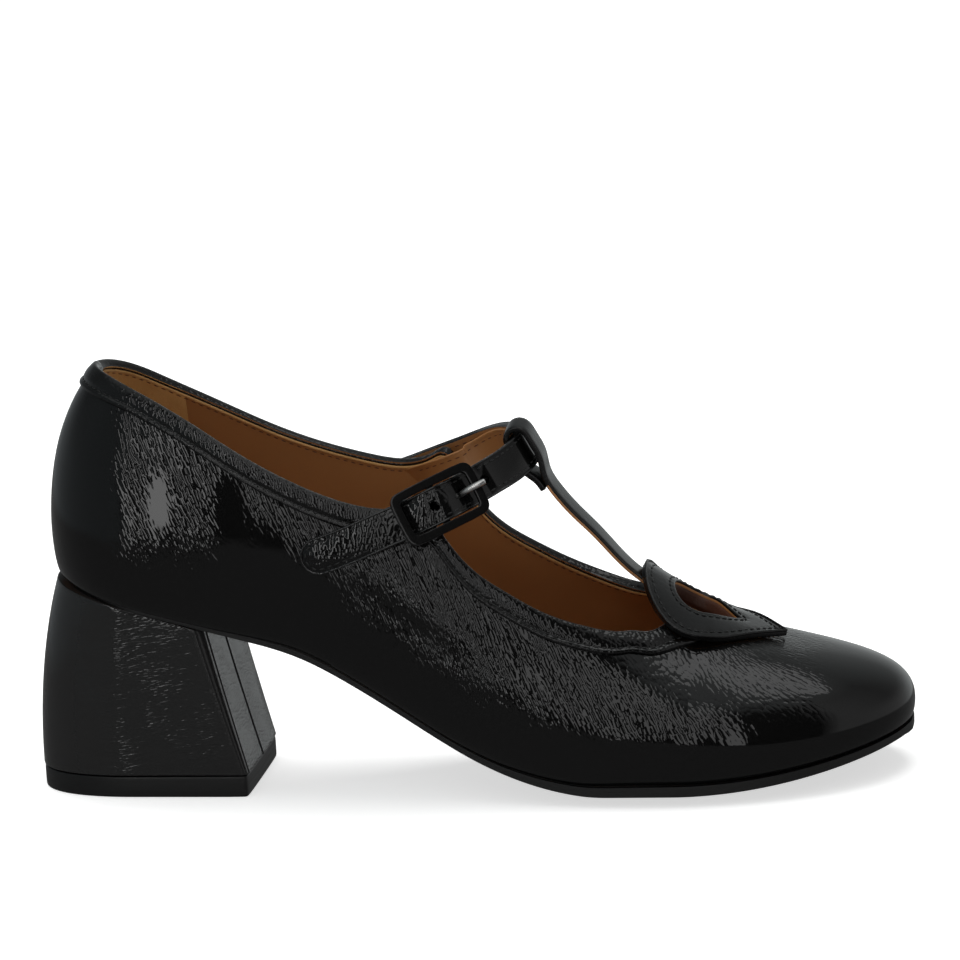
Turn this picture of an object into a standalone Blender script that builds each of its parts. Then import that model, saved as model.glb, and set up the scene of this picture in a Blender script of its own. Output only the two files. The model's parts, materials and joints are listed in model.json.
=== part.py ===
"""T-strap mary jane pump, right shoe, standing empty on its heel and forefoot.

Sizes are in millimetres in the shoe's own frame: x runs from the back of the heel to the toe, y to the
left (the inner side of this right shoe), z up from the floor. The root empty scales them to metres and
puts the origin under the middle of the shoe.
"""

import math
from collections import namedtuple
from dataclasses import dataclass

import bmesh
import bpy
import numpy as np

MM = 0.001
SEAM_GAP = 0.3

# Length of the shoe
HEEL_BACK = 3.2
HEEL_ROUND = 27.0
HEEL_POWER = 2.1
TOE_TIP = 237.5
TOE_ROUND = 62.0
TOE_POWER = 2.15
HEEL_AXIS = HEEL_BACK + HEEL_ROUND
TOE_ROUND_START = TOE_TIP - TOE_ROUND
KEYHOLE_AXIS = 182.0
VAMP_SLOPE = -0.62

# Inward swing of the forefoot
SWING_START = 60.0
SWING_AT_TOE = 3.0
SWING_POWER = 1.5

# Heel and sole
HEEL_HEIGHT = 61.4
SEAT_SLOPE = -0.29
SEAT_END = 47.0
TOP_LIFT_HEIGHT = 6.0
FLAT_START = 156.0
FLAT_END = 178.0
FLAT_HALF_WIDTH = 15.0
TOE_SPRING = 10.0
TOE_SPRING_POWER = 1.75

# Leather and board
WALL = 2.0
BAND_WIDTH = 7.0
BAND_THICKNESS = 0.8
OVERLAY_THICKNESS = 1.7
INSOLE_THICKNESS = 1.6
INSOLE_MARGIN = 0.6
STRAP_WIDTH = 10.0
STRAP_THICKNESS = 2.2
T_BAR_WIDTH = 8.0
T_BAR_THICKNESS = 1.8

# Sections of the last: half-widths from the spine, virtual instep line, swell of the wall and its fullness
SECTION_COLUMNS = ("x", "lateral", "medial", "ridge", "bulge", "rise", "k_side", "k_top")
SECTIONS = (
    (0.0, 25.0, 24.0, 124.0, 1.7, 12.0, 0.55, 0.55),
    (30.2, 25.5, 24.5, 124.0, 2.2, 15.0, 0.55, 0.55),
    (60.0, 26.0, 23.0, 127.0, 3.4, 22.0, 0.54, 0.50),
    (90.0, 27.8, 20.8, 122.0, 3.8, 24.0, 0.50, 0.45),
    (115.0, 31.5, 21.5, 105.5, 3.6, 22.0, 0.46, 0.42),
    (140.0, 36.3, 26.5, 83.5, 2.8, 16.0, 0.43, 0.39),
    (160.0, 39.2, 32.5, 60.9, 2.4, 13.0, 0.41, 0.38),
    (182.0, 39.6, 36.3, 45.1, 2.2, 11.0, 0.43, 0.38),
    (205.0, 38.4, 36.8, 35.0, 2.0, 8.0, 0.50, 0.38),
    (225.0, 37.0, 36.2, 30.0, 1.8, 6.0, 0.60, 0.39),
    (240.0, 36.0, 35.5, 28.0, 1.6, 5.0, 0.62, 0.39),
)

# Sole along the waist: middle of the underside
ARCH_COLUMNS = ("x", "bottom")
ARCH = (
    (60.0, 44.1),
    (74.0, 39.4),
    (85.0, 33.4),
    (96.0, 26.6),
    (107.0, 19.4),
    (118.0, 12.4),
    (129.0, 6.7),
    (140.0, 2.7),
)

# Sole edge: how far it lifts above the middle, its thickness and how far it stands out
SOLE_EDGE_COLUMNS = ("x", "camber", "thickness", "welt")
SOLE_EDGE = (
    (0.0, 0.0, 1.2, -1.4),
    (47.0, 0.0, 1.2, -1.4),
    (75.0, 0.8, 1.7, 0.0),
    (110.0, 1.2, 1.7, 0.4),
    (140.0, 2.4, 2.4, 1.2),
    (165.0, 3.0, 2.8, 1.6),
    (200.0, 2.3, 2.7, 1.5),
    (240.0, 0.8, 1.9, 1.2),
)

# Collar height on each side, from the back of the heel to the throat
COLLAR_COLUMNS = ("x", "lateral", "medial")
COLLAR = (
    (14.0, 119.6, 119.6),
    (20.0, 118.2, 117.2),
    (30.0, 114.2, 111.6),
    (45.0, 106.6, 103.2),
    (60.0, 97.6, 95.4),
    (75.0, 89.6, 89.6),
    (88.0, 84.2, 86.2),
    (98.0, 81.8, 84.9),
    (107.0, 80.8, 87.4),
    (112.0, 78.6, 87.6),
    (117.0, 72.2, 76.0),
    (122.0, 66.2, 68.2),
    (132.0, 58.6, 60.6),
    (142.0, 52.6, 54.9),
    (153.0, 48.0, 50.0),
    (163.0, 45.3, 47.2),
    (168.0, 45.2, 47.2),
)
COLLAR_END = 165.0
COLLAR_LEAD = 4.0

# Throat in front of the collar, measured from the spine, round the keyhole
THROAT_COLUMNS = ("x", "lateral", "medial")
THROAT = (
    (172.5, 19.0, 14.8),
    (175.5, 13.4, 12.4),
    (178.5, 10.9, 10.9),
    (182.0, 10.9, 10.9),
)

# Lower edge of the topline band where it runs on under the leaf, measured from the spine
BAND_FRONT_COLUMNS = ("x", "lateral", "medial")
BAND_FRONT = (
    (172.0, 27.6, 21.8),
    (177.0, 23.6, 19.9),
    (182.0, 19.0, 17.6),
)
BAND_END = 182.5

# Leaf overlay and its keyhole: both are pear shapes with the point towards the toe
LEAF_REAR = 164.8
LEAF_TIP = 204.5
LEAF_HALF_WIDTH = 20.5
KEYHOLE_REAR = 173.2
KEYHOLE_TIP = 191.6
KEYHOLE_HALF_WIDTH = 9.6
PEAR_FULLEST = 0.77
LEAF_OVER_BAND = 183.0
LEAF_ON_VAMP = 190.0

# Heel outline at the floor and under the seat
HEEL_BOTTOM_BACK = -5.8
HEEL_BOTTOM_FRONT = 56.4
HEEL_BOTTOM_LATERAL = 23.6
HEEL_BOTTOM_MEDIAL = 20.6
HEEL_TOP_BACK = 2.4
HEEL_TOP_FRONT = 46.4
HEEL_TOP_LATERAL = 24.4
HEEL_TOP_MEDIAL = 22.6
HEEL_ROUND_SHARE = 0.56
HEEL_ROUND_POWER = 2.4
HEEL_SIDE_TAPER = 0.95
HEEL_CORNER = 1.6
HEEL_FLARE_POWER = 2.0

# Instep strap: where it crosses the instep and where it lies on each quarter
STRAP_TOP = (135.4, 0.0, 92.0)
STRAP_LEAN = math.radians(28.0)
BUCKLE_CENTRE = 115.4
STRAP_COLUMNS = ("x", "height", "clear")
STRAP_LATERAL = (
    (77.5, 68.6, 0.6),
    (90.5, 72.7, 1.6),
    (102.5, 77.0, 2.7),
)
STRAP_MEDIAL = (
    (108.0, 82.4, 2.6),
    (97.0, 78.6, 1.8),
    (86.0, 75.6, 1.6),
)
# Places of the strap's middle line where it is free, in x, y and z
STRAP_FREE_LATERAL = ((115.4, -28.8, 82.8), (126.0, -19.6, 87.0), (133.2, -8.4, 90.0))
STRAP_FREE_MEDIAL = ((133.2, 8.4, 92.2), (126.6, 17.8, 90.2), (118.0, 23.4, 86.6))

# Buckle
BUCKLE_LENGTH = 25.0
BUCKLE_WIDTH = 15.6
BUCKLE_BAR = 2.4
BUCKLE_DEPTH = 2.0
BUCKLE_CORNER = 3.0
BUCKLE_INNER_CORNER = 1.4
WEAVE = 1.3
WEAVE_FADE = 0.9
PRONG_DIAMETER = 1.6
PRONG_HOLE = 2.8
HOLE_PITCH = 8.5
PRONG_PLACE = 7.0

# Prong's middle line: along the buckle from its centre bar, and out from the strap's middle
PRONG = ((2.1, -1.3), (4.0, -2.4), (6.1, -2.4), (6.9, -0.6), (7.4, 1.2), (8.8, 2.8))
PRONG_REST = 10.4
PRONG_END = 13.4

# T-bar's middle line in the spine's plane: places along the instep under the leaf, then x and z
T_BAR_ROOTS = (171.5, 167.5, 162.5)
T_BAR_SINK = 0.6
T_BAR = ((153.7, 68.2), (148.2, 74.0), (142.9, 80.7), (140.8, 84.6))
T_BAR_TILT = math.radians(9.0)

# T-bar's loop round the instep strap: places along its front and back, then its tail's x and z
LOOP_CLEAR = 1.1
LOOP_FRONT = (-3.0, -0.5, 2.0)
LOOP_BACK = (1.0, -2.2)
TAIL = ((135.6, 86.0), (137.7, 84.5), (139.2, 83.0), (140.35, 81.0))

# Fineness of the solids
HEEL_FAN_STEPS = 7
TOE_FAN_STEPS = 11
CROSS_COLUMNS = ("start", "end", "count")
CROSS_RUNS = ((HEEL_AXIS, 101.0, 9), (101.0, 124.0, 9), (124.0, 160.0, 7), (160.0, KEYHOLE_AXIS, 9))
TUCK_ROWS = (-1.0, -0.72, -0.45, -0.2)
SIDE_ROWS = 7
BAND_ROWS = 4
LEAF_STEPS = 44
LEAF_ROWS = 4
SOLE_STEPS = 44
SOLE_ROWS = 8
SOLE_END_CUT = 0.25
INSOLE_STEPS = 34
INSOLE_ROWS = 5
HEEL_ARC_STEPS = 9
HEEL_LEVELS = 6
CORNER_STEPS = 3
BUCKLE_CORNER_STEPS = 4
STRAP_STEP = 2.6
TIP_STEPS = 4
TIP_FIRST = 0.35
HOLE_SIDES = 10
T_BAR_STEPS = 46
LOOP_TURN_STEPS = 6
PRONG_STEPS = 14
PRONG_SIDES = 8
NEAR = 0.4
HALVINGS = 48
CREASE_ANGLE = math.radians(40.0)

# Colour and roughness of each material
PATENT = ((0.010, 0.010, 0.011), 0.22)
SOLE_BLACK = ((0.012, 0.012, 0.012), 0.5)
LINING_TAN = ((0.36, 0.16, 0.05), 0.55)
PAINTED = ((0.008, 0.008, 0.009), 0.3)
NICKEL = ((0.72, 0.72, 0.74), 0.25)


class Curve:
    """Smooth curve through the rows of a table, with optional slopes at its ends."""

    def __init__(self, xs, ys, start=None, end=None):
        self.xs = np.asarray(xs, float)
        self.ys = np.asarray(ys, float)
        step = np.diff(self.xs)
        rise = np.diff(self.ys) / step
        count = len(self.xs)
        matrix = np.zeros((count, count))
        wanted = np.zeros(count)
        for i in range(1, count - 1):
            matrix[i, i - 1] = step[i]
            matrix[i, i] = 2.0 * (step[i - 1] + step[i])
            matrix[i, i + 1] = step[i - 1]
            wanted[i] = 3.0 * (rise[i - 1] * step[i] + rise[i] * step[i - 1])
        ends = ((0, 1, start, rise[0]), (count - 1, count - 2, end, rise[-1]))
        for row, neighbour, slope, secant in ends:
            matrix[row, row] = 1.0 if slope is not None else 2.0
            matrix[row, neighbour] = 0.0 if slope is not None else 1.0
            wanted[row] = slope if slope is not None else 3.0 * secant
        self.slopes = np.linalg.solve(matrix, wanted)

    def __call__(self, x):
        x = float(np.clip(x, self.xs[0], self.xs[-1]))
        i = int(np.clip(np.searchsorted(self.xs, x) - 1, 0, len(self.xs) - 2))
        step = self.xs[i + 1] - self.xs[i]
        t = (x - self.xs[i]) / step
        return float(
            self.ys[i] * (1 + 2 * t) * (1 - t) ** 2
            + self.ys[i + 1] * t * t * (3 - 2 * t)
            + step * t * (1 - t) * (self.slopes[i] * (1 - t) - self.slopes[i + 1] * t)
        )


def curves(columns, rows):
    """One curve for each column of a table after its first."""
    table = np.array(rows)
    return {name: Curve(table[:, 0], table[:, i]) for i, name in enumerate(columns) if i}


def named_rows(columns, rows):
    """Rows of a table with their columns named."""
    row = namedtuple("Row", columns)
    return [row(*values) for values in rows]


def side_name(side):
    """Column of a table for a side of the shoe."""
    return "lateral" if side < 0 else "medial"


def seat_height(x):
    """Underside of the sole over the heel, a plane."""
    return HEEL_HEIGHT + SEAT_SLOPE * x


SHAPE = curves(SECTION_COLUMNS, SECTIONS)
EDGE = curves(SOLE_EDGE_COLUMNS, SOLE_EDGE)
COLLAR_HEIGHT = curves(COLLAR_COLUMNS, COLLAR)
ARCH_ROWS = named_rows(ARCH_COLUMNS, ARCH)
ARCH_CURVE = Curve(
    [SEAT_END] + [row.x for row in ARCH_ROWS] + [FLAT_START],
    [seat_height(SEAT_END)] + [row.bottom for row in ARCH_ROWS] + [0.0],
    start=SEAT_SLOPE,
    end=0.0,
)


def spine(x):
    """Middle line of the last in plan, swinging inwards towards the toe."""
    share = max(0.0, (x - SWING_START) / (TOE_TIP - SWING_START))
    return SWING_AT_TOE * share**SWING_POWER


def sole_bottom(x):
    """Middle of the sole's underside: heel seat, arch, flat spot and toe spring."""
    if x <= SEAT_END:
        return seat_height(x)
    if x < FLAT_START:
        return ARCH_CURVE(x)
    if x <= FLAT_END:
        return 0.0
    return TOE_SPRING * ((x - FLAT_END) / (TOE_TIP - FLAT_END)) ** TOE_SPRING_POWER


def sole_top(x):
    """Upper face of the sole, where the lasted edge sits."""
    return sole_bottom(x) + EDGE["camber"](x) + EDGE["thickness"](x)


def end_taper(x):
    """Share of the full half-width left where heel and toe round off."""
    if x < HEEL_AXIS:
        along = min(1.0, (HEEL_AXIS - x) / HEEL_ROUND)
        return (1.0 - along**HEEL_POWER) ** (1.0 / HEEL_POWER)
    if x > TOE_ROUND_START:
        along = min(1.0, (x - TOE_ROUND_START) / TOE_ROUND)
        return (1.0 - along**TOE_POWER) ** (1.0 / TOE_POWER)
    return 1.0


def outline(x, side):
    """Feather edge of the last in plan, side -1 outer or +1 inner."""
    half = SHAPE[side_name(side)](x)
    return spine(x) + side * half * end_taper(x)


def solve(function, wanted, low, high):
    """Bisect a rising function."""
    for _ in range(HALVINGS):
        middle = 0.5 * (low + high)
        if function(middle) < wanted:
            low = middle
        else:
            high = middle
    return 0.5 * (low + high)


@dataclass
class Rib:
    """One upright slice of the last, from the feather edge up to the spine."""

    foot: np.ndarray
    inward: np.ndarray
    span: float
    top: float
    slope: float

    def __post_init__(self):
        x = self.foot[0]
        self.bulge = SHAPE["bulge"](x)
        self.base = sole_top(x) + SEAM_GAP
        self.waist = self.base + SHAPE["rise"](x)
        reach = self.span + self.bulge
        k_side = SHAPE["k_side"](x)
        k_top = SHAPE["k_top"](x)
        self.poles = np.array(
            (
                (-self.bulge, self.waist),
                (-self.bulge, self.waist + k_side * (self.top - self.waist)),
                (self.span - k_top * reach, self.top - self.slope * k_top * reach),
                (self.span, self.top),
            )
        )

    def profile(self, t):
        """Inward distance and height: t is -1 at the feather, 0 at the widest and 1 at the spine."""
        if t < 0.0:
            angle = 0.5 * math.pi * (t + 1.0)
            lift = (self.waist - self.base) * (1.0 - math.cos(angle))
            return np.array((-self.bulge * math.sin(angle), self.base + lift))
        weights = ((1 - t) ** 3, 3 * t * (1 - t) ** 2, 3 * t * t * (1 - t), t**3)
        return np.asarray(weights) @ self.poles

    def place(self, distance, height):
        return np.array((*(self.foot + self.inward * distance), height))

    def point(self, t):
        return self.place(*self.profile(t))

    def at_height(self, height):
        return solve(lambda t: self.profile(t)[1], height, 0.0, 1.0)

    def at_reach(self, from_spine):
        return solve(lambda t: self.profile(t)[0], self.span - from_spine, 0.0, 1.0)


def rib_to(foot, axis, top, slope_x=0.0):
    """Rib from a feather point towards an upright axis; slope_x is the instep's slope there."""
    foot = np.asarray(foot, float)
    gap = np.asarray(axis, float) - foot
    span = float(np.linalg.norm(gap))
    inward = gap / span
    return Rib(foot, inward, span, top, slope_x * inward[0])


def cross_rib(x, side):
    """Rib square to the shoe."""
    return rib_to((x, outline(x, side)), (x, spine(x)), SHAPE["ridge"](x))


def heel_rib(angle, side):
    """Rib of the heel fan, angle 0 at the back and 90 degrees at the side."""
    x = HEEL_AXIS - HEEL_ROUND * math.cos(angle) ** (2.0 / HEEL_POWER)
    return rib_to((x, outline(x, side)), (HEEL_AXIS, spine(HEEL_AXIS)), SHAPE["ridge"](HEEL_AXIS))


TOE_FAN_ANGLE = math.asin(((KEYHOLE_AXIS - TOE_ROUND_START) / TOE_ROUND) ** (TOE_POWER / 2.0))


def toe_rib(share):
    """Rib of the toe fan, share -1 at the outer side, 0 at the tip and +1 at the inner side."""
    angle = TOE_FAN_ANGLE + (1.0 - abs(share)) * (0.5 * math.pi - TOE_FAN_ANGLE)
    x = TOE_ROUND_START + TOE_ROUND * math.sin(angle) ** (2.0 / TOE_POWER)
    side = -1 if share < 0 else 1
    axis = (KEYHOLE_AXIS, spine(KEYHOLE_AXIS))
    return rib_to((x, outline(x, side)), axis, SHAPE["ridge"](KEYHOLE_AXIS), VAMP_SLOPE)


def run_on(columns, rows, side, place):
    """Half-width in front of the collar, running on from where a rule puts it on the last collar ribs."""
    xs = [COLLAR_END - COLLAR_LEAD, COLLAR_END]
    widths = []
    for x in xs:
        rib = cross_rib(x, side)
        widths.append(rib.span - rib.profile(place(rib, side))[0])
    for row in named_rows(columns, rows):
        xs.append(row.x)
        widths.append(getattr(row, side_name(side)))
    return Curve(xs, widths)


def collar_place(rib, side):
    """Where the collar's height ends a rib."""
    return rib.at_height(COLLAR_HEIGHT[side_name(side)](rib.foot[0]))


def band_place(rib, side):
    """Lower edge of the band, its width below the collar."""
    end = collar_place(rib, side)
    edge = rib.point(end)
    return solve(lambda t: -np.linalg.norm(rib.point(t) - edge), -BAND_WIDTH, -1.0, end)


THROAT_WIDTH = {side: run_on(THROAT_COLUMNS, THROAT, side, collar_place) for side in (-1, 1)}
BAND_FRONT_WIDTH = {side: run_on(BAND_FRONT_COLUMNS, BAND_FRONT, side, band_place) for side in (-1, 1)}


def topline(rib, side):
    """Where the collar or throat ends a rib."""
    x = rib.foot[0]
    height = COLLAR_HEIGHT[side_name(side)]
    if x <= HEEL_AXIS:
        guess = rib.at_height(height(HEEL_AXIS))
        for _ in range(12):
            guess = 0.5 * (guess + rib.at_height(height(rib.point(guess)[0])))
        return guess
    if x <= COLLAR_END:
        return collar_place(rib, side)
    return rib.at_reach(THROAT_WIDTH[side](min(x, KEYHOLE_AXIS)))


def cross_stations():
    """Places of the square ribs, closer where the collar turns."""
    stations = []
    for run in named_rows(CROSS_COLUMNS, CROSS_RUNS):
        stations += list(np.linspace(run.start, run.end, run.count, endpoint=False))
    return stations[1:]


def half_ribs(side):
    """Ribs of one side, from the one beside the heel's back to the one beside the toe's tip."""
    ribs = [heel_rib(0.5 * math.pi * i / HEEL_FAN_STEPS, side) for i in range(1, HEEL_FAN_STEPS + 1)]
    ribs += [cross_rib(x, side) for x in cross_stations()]
    ribs += [toe_rib(side * (1.0 - i / TOE_FAN_STEPS)) for i in range(TOE_FAN_STEPS)]
    return [(rib, side) for rib in ribs]


def all_ribs():
    """Closed round of ribs with the side each belongs to."""
    back = [(heel_rib(0.0, -1), -1)]
    tip = [(toe_rib(0.0), -1)]
    return back + half_ribs(-1) + tip + half_ribs(1)[::-1]


def wall_grid(ribs):
    """Outer face of the upper, one row of points for each rib, from the feather to the topline."""
    grid = []
    for rib, side in ribs:
        end = topline(rib, side)
        steps = list(TUCK_ROWS) + [end * i / SIDE_ROWS for i in range(SIDE_ROWS + 1)]
        grid.append([rib.point(t) for t in steps])
    return np.array(grid)


def band_edge(rib, side, end):
    """Where the lower edge of the topline band crosses a rib that ends at the topline."""
    x = rib.foot[0]
    if x > COLLAR_END:
        return rib.at_reach(BAND_FRONT_WIDTH[side](x))
    edge = rib.point(end)
    return solve(lambda t: -np.linalg.norm(rib.point(t) - edge), -BAND_WIDTH, -1.0, end)


def band_grid(ribs, rows):
    """Strip of the outer face below the topline, one row of points for each rib."""
    grid = []
    for rib, side in ribs:
        end = topline(rib, side)
        start = band_edge(rib, side, end)
        grid.append([rib.point(start + (end - start) * i / (rows - 1)) for i in range(rows)])
    return np.array(grid)


def grid_normals(grid, closed):
    """Outward unit normals of a grid of points."""
    if closed:
        along = np.roll(grid, -1, axis=0) - np.roll(grid, 1, axis=0)
    else:
        along = np.gradient(grid, axis=0)
    up = np.gradient(grid, axis=1)
    normals = np.cross(along, up)
    return normals / np.linalg.norm(normals, axis=2, keepdims=True)


def last_height(x, y):
    """Height of the last over a point in plan, in front of the ankle."""
    if x <= KEYHOLE_AXIS:
        side = -1 if y < spine(x) else 1
        rib = cross_rib(x, side)
        return rib.point(rib.at_reach(abs(y - spine(x))))[2]
    centre = np.array((KEYHOLE_AXIS, spine(KEYHOLE_AXIS)))
    offset = np.array((x, y)) - centre
    wanted = math.atan2(offset[1], offset[0])

    def bearing(share):
        arm = toe_rib(share).foot - centre
        return math.atan2(arm[1], arm[0])

    rib = toe_rib(solve(bearing, wanted, -1.0, 1.0))
    return rib.point(rib.at_reach(float(np.linalg.norm(offset))))[2]


def last_point(x, y, clear):
    """Point a given distance off the last, above a point in plan."""
    height = last_height(x, y)
    fall_x = (last_height(x + NEAR, y) - last_height(x - NEAR, y)) / (2 * NEAR)
    fall_y = (last_height(x, y + NEAR) - last_height(x, y - NEAR)) / (2 * NEAR)
    normal = np.array((-fall_x, -fall_y, 1.0))
    return np.array((x, y, height)) + clear * normal / np.linalg.norm(normal)


def quarter_point(x, height, side, clear):
    """Point off the side of the shoe at a height, with the outward normal there."""

    def on_wall(along, level):
        rib = cross_rib(along, side)
        return rib.point(rib.at_height(level))

    along = on_wall(x + NEAR, height) - on_wall(x - NEAR, height)
    up = on_wall(x, height + NEAR) - on_wall(x, height - NEAR)
    normal = np.cross(along, up) * -side
    normal /= np.linalg.norm(normal)
    return on_wall(x, height) + clear * normal, normal


def solid(name, rings, wrap, colour, roughness, metallic=0.0):
    """Closed solid skinned over rings of points; rings wrap round or are capped at both ends."""
    mesh = bpy.data.meshes.new(name)
    shell = bmesh.new()
    loops = [[shell.verts.new(point) for point in ring] for ring in rings]
    pairs = list(zip(loops, loops[1:]))
    if wrap:
        pairs.append((loops[-1], loops[0]))
    for first, second in pairs:
        count = len(first)
        for i in range(count):
            j = (i + 1) % count
            shell.faces.new((first[i], first[j], second[j], second[i]))
    if not wrap:
        shell.faces.new(loops[0][::-1])
        shell.faces.new(loops[-1])
    bmesh.ops.triangulate(shell, faces=shell.faces[:])
    bmesh.ops.recalc_face_normals(shell, faces=shell.faces[:])
    if shell.calc_volume(signed=True) < 0.0:
        bmesh.ops.reverse_faces(shell, faces=shell.faces[:])
    for face in shell.faces:
        face.smooth = True
    shell.to_mesh(mesh)
    shell.free()
    mesh.set_sharp_from_angle(angle=CREASE_ANGLE)
    mesh.materials.append(finish(name, colour, roughness, metallic))
    part = bpy.data.objects.new(name, mesh)
    bpy.context.scene.collection.objects.link(part)
    return part


def finish(name, colour, roughness, metallic):
    """Plain material for a piece."""
    material = bpy.data.materials.new(name + "_finish")
    material.use_nodes = True
    shader = material.node_tree.nodes["Principled BSDF"]
    shader.inputs["Base Color"].default_value = (*colour, 1.0)
    shader.inputs["Roughness"].default_value = roughness
    shader.inputs["Metallic"].default_value = metallic
    return material


def build_upper():
    """Vamp and quarters: a wall that is open at collar, throat, keyhole and underneath."""
    ribs = all_ribs()
    outer = wall_grid(ribs)
    inner = outer - WALL * grid_normals(outer, closed=True)
    for i, (rib, _side) in enumerate(ribs):
        inner[i, 0] = rib.place(WALL, rib.base)
    rings = [list(outer[i]) + list(inner[i][::-1]) for i in range(len(ribs))]
    return solid("upper", rings, True, *PATENT)


def build_topline_band():
    """Strip sewn round the collar; its ends lie under the leaf."""
    middle = [pair for pair in half_ribs(-1) if pair[0].foot[0] <= BAND_END]
    other = [pair for pair in half_ribs(1) if pair[0].foot[0] <= BAND_END]
    ribs = middle[::-1] + [(heel_rib(0.0, -1), -1)] + other
    grid = band_grid(ribs, BAND_ROWS)
    normals = -grid_normals(grid, closed=False)
    low = grid + SEAM_GAP * normals
    high = grid + (SEAM_GAP + BAND_THICKNESS) * normals
    rings = [list(high[i]) + list(low[i][::-1]) for i in range(len(ribs))]
    return solid("topline_band", rings, False, *PATENT)


def pear(angle, rear, tip, half_width):
    """Pear outline about the spine, pointed at angle 0 and round at 180 degrees."""
    x = 0.5 * (rear + tip) + 0.5 * (tip - rear) * math.cos(angle)
    y = half_width * math.sin(angle) * abs(math.sin(0.5 * angle)) / PEAR_FULLEST
    return np.array((x, spine(x) + y))


def build_vamp_overlay():
    """Leaf with its keyhole, over the throat's edge and the ends of the band."""
    rings = []
    for i in range(LEAF_STEPS):
        angle = 2.0 * math.pi * (i + 0.5) / LEAF_STEPS
        outer = pear(angle, LEAF_REAR, LEAF_TIP, LEAF_HALF_WIDTH)
        inner = pear(angle, KEYHOLE_REAR, KEYHOLE_TIP, KEYHOLE_HALF_WIDTH)
        low = []
        high = []
        for j in range(LEAF_ROWS):
            x, y = outer + (inner - outer) * j / (LEAF_ROWS - 1)
            share = np.clip((LEAF_ON_VAMP - x) / (LEAF_ON_VAMP - LEAF_OVER_BAND), 0.0, 1.0)
            clear = SEAM_GAP + (BAND_THICKNESS + SEAM_GAP) * share * share * (3.0 - 2.0 * share)
            low.append(last_point(x, y, clear))
            high.append(last_point(x, y, clear + OVERLAY_THICKNESS))
        rings.append(high + low[::-1])
    return solid("vamp_overlay", rings, True, *PATENT)


def end_spaced(start, end, count):
    """Stations that crowd towards both ends."""
    angles = [math.pi * i / (count - 1) for i in range(count)]
    return [0.5 * (start + end) - 0.5 * (end - start) * math.cos(angle) for angle in angles]


def sole_width(x, side, extra):
    """Plan edge of a sole that stands out from the feather by a margin."""
    start = HEEL_BACK - extra
    end = TOE_TIP + extra
    inner_x = HEEL_BACK + (x - start) * (TOE_TIP - HEEL_BACK) / (end - start)
    full = SHAPE[side_name(side)](inner_x) + extra
    return spine(inner_x) + side * full * end_taper(inner_x)


def build_outsole():
    """Sole with heel seat, arch, cambered forefoot with a flat spot, and toe spring."""
    toe_welt = EDGE["welt"](TOE_TIP)
    heel_welt = EDGE["welt"](HEEL_BACK)
    stations = end_spaced(HEEL_BACK - heel_welt, TOE_TIP + toe_welt, SOLE_STEPS)
    stations[0] += SOLE_END_CUT
    stations[-1] -= SOLE_END_CUT
    stations = sorted(stations + [SEAT_END, FLAT_START, FLAT_END])
    rings = []
    for x in stations:
        welt = EDGE["welt"](x)
        low = sole_width(x, -1, welt)
        high = sole_width(x, 1, welt)
        middle = spine(x)
        flat = min(FLAT_HALF_WIDTH, 0.45 * (high - low))
        bottom = []
        top = []
        for i in range(SOLE_ROWS):
            share = i / (SOLE_ROWS - 1)
            y = low + (high - low) * share
            edge = (low if y < middle else high) - middle
            away = max(0.0, (abs(y - middle) - flat) / max(1e-6, abs(edge) - flat))
            bottom.append((x, y, sole_bottom(x) + EDGE["camber"](x) * away**2))
            top.append((x, y, sole_top(x)))
        rings.append(bottom + top[::-1])
    return solid("outsole", rings, False, *SOLE_BLACK)


def build_insole():
    """Board on the sole, inside the lasted edge of the upper."""
    inset = -(WALL + INSOLE_MARGIN)
    stations = end_spaced(HEEL_BACK - inset + SOLE_END_CUT, TOE_TIP + inset - SOLE_END_CUT, INSOLE_STEPS)
    stations = sorted(stations + [SEAT_END, FLAT_START, FLAT_END])
    rings = []
    for x in stations:
        low = sole_width(x, -1, inset)
        high = sole_width(x, 1, inset)
        across = [low + (high - low) * i / (INSOLE_ROWS - 1) for i in range(INSOLE_ROWS)]
        base = sole_top(x) + SEAM_GAP
        bottom = [(x, y, base) for y in across]
        top = [(x, y, base + INSOLE_THICKNESS) for y in across]
        rings.append(bottom + top[::-1])
    return solid("insole", rings, False, *LINING_TAN)


def heel_outline(share):
    """Plan of the heel: round back, tapered sides and flat breast; share 0 at the floor, 1 at the seat."""
    mix = share**HEEL_FLARE_POWER
    back = HEEL_BOTTOM_BACK + (HEEL_TOP_BACK - HEEL_BOTTOM_BACK) * mix
    front = HEEL_BOTTOM_FRONT + (HEEL_TOP_FRONT - HEEL_BOTTOM_FRONT) * share
    lateral = HEEL_BOTTOM_LATERAL + (HEEL_TOP_LATERAL - HEEL_BOTTOM_LATERAL) * share
    medial = HEEL_BOTTOM_MEDIAL + (HEEL_TOP_MEDIAL - HEEL_BOTTOM_MEDIAL) * share
    length = (front - back) * HEEL_ROUND_SHARE
    points = []
    for i in range(-HEEL_ARC_STEPS, HEEL_ARC_STEPS + 1):
        angle = 0.5 * math.pi * i / HEEL_ARC_STEPS
        half = lateral if i < 0 else medial
        side = math.copysign(abs(math.sin(angle)) ** (2.0 / HEEL_ROUND_POWER), i)
        x = back + length * (1.0 - math.cos(angle) ** (2.0 / HEEL_ROUND_POWER))
        points.append((x, half * side * HEEL_SIDE_TAPER))
    for half, turn in ((medial, 1), (-lateral, -1)):
        sign = math.copysign(1.0, half)
        for i in range(CORNER_STEPS):
            step = i if turn > 0 else CORNER_STEPS - 1 - i
            angle = 0.5 * math.pi * step / (CORNER_STEPS - 1)
            x = front - HEEL_CORNER * (1.0 - math.sin(angle))
            y = half - sign * HEEL_CORNER * (1.0 - math.cos(angle))
            points.append((x, y))
    return points


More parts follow.
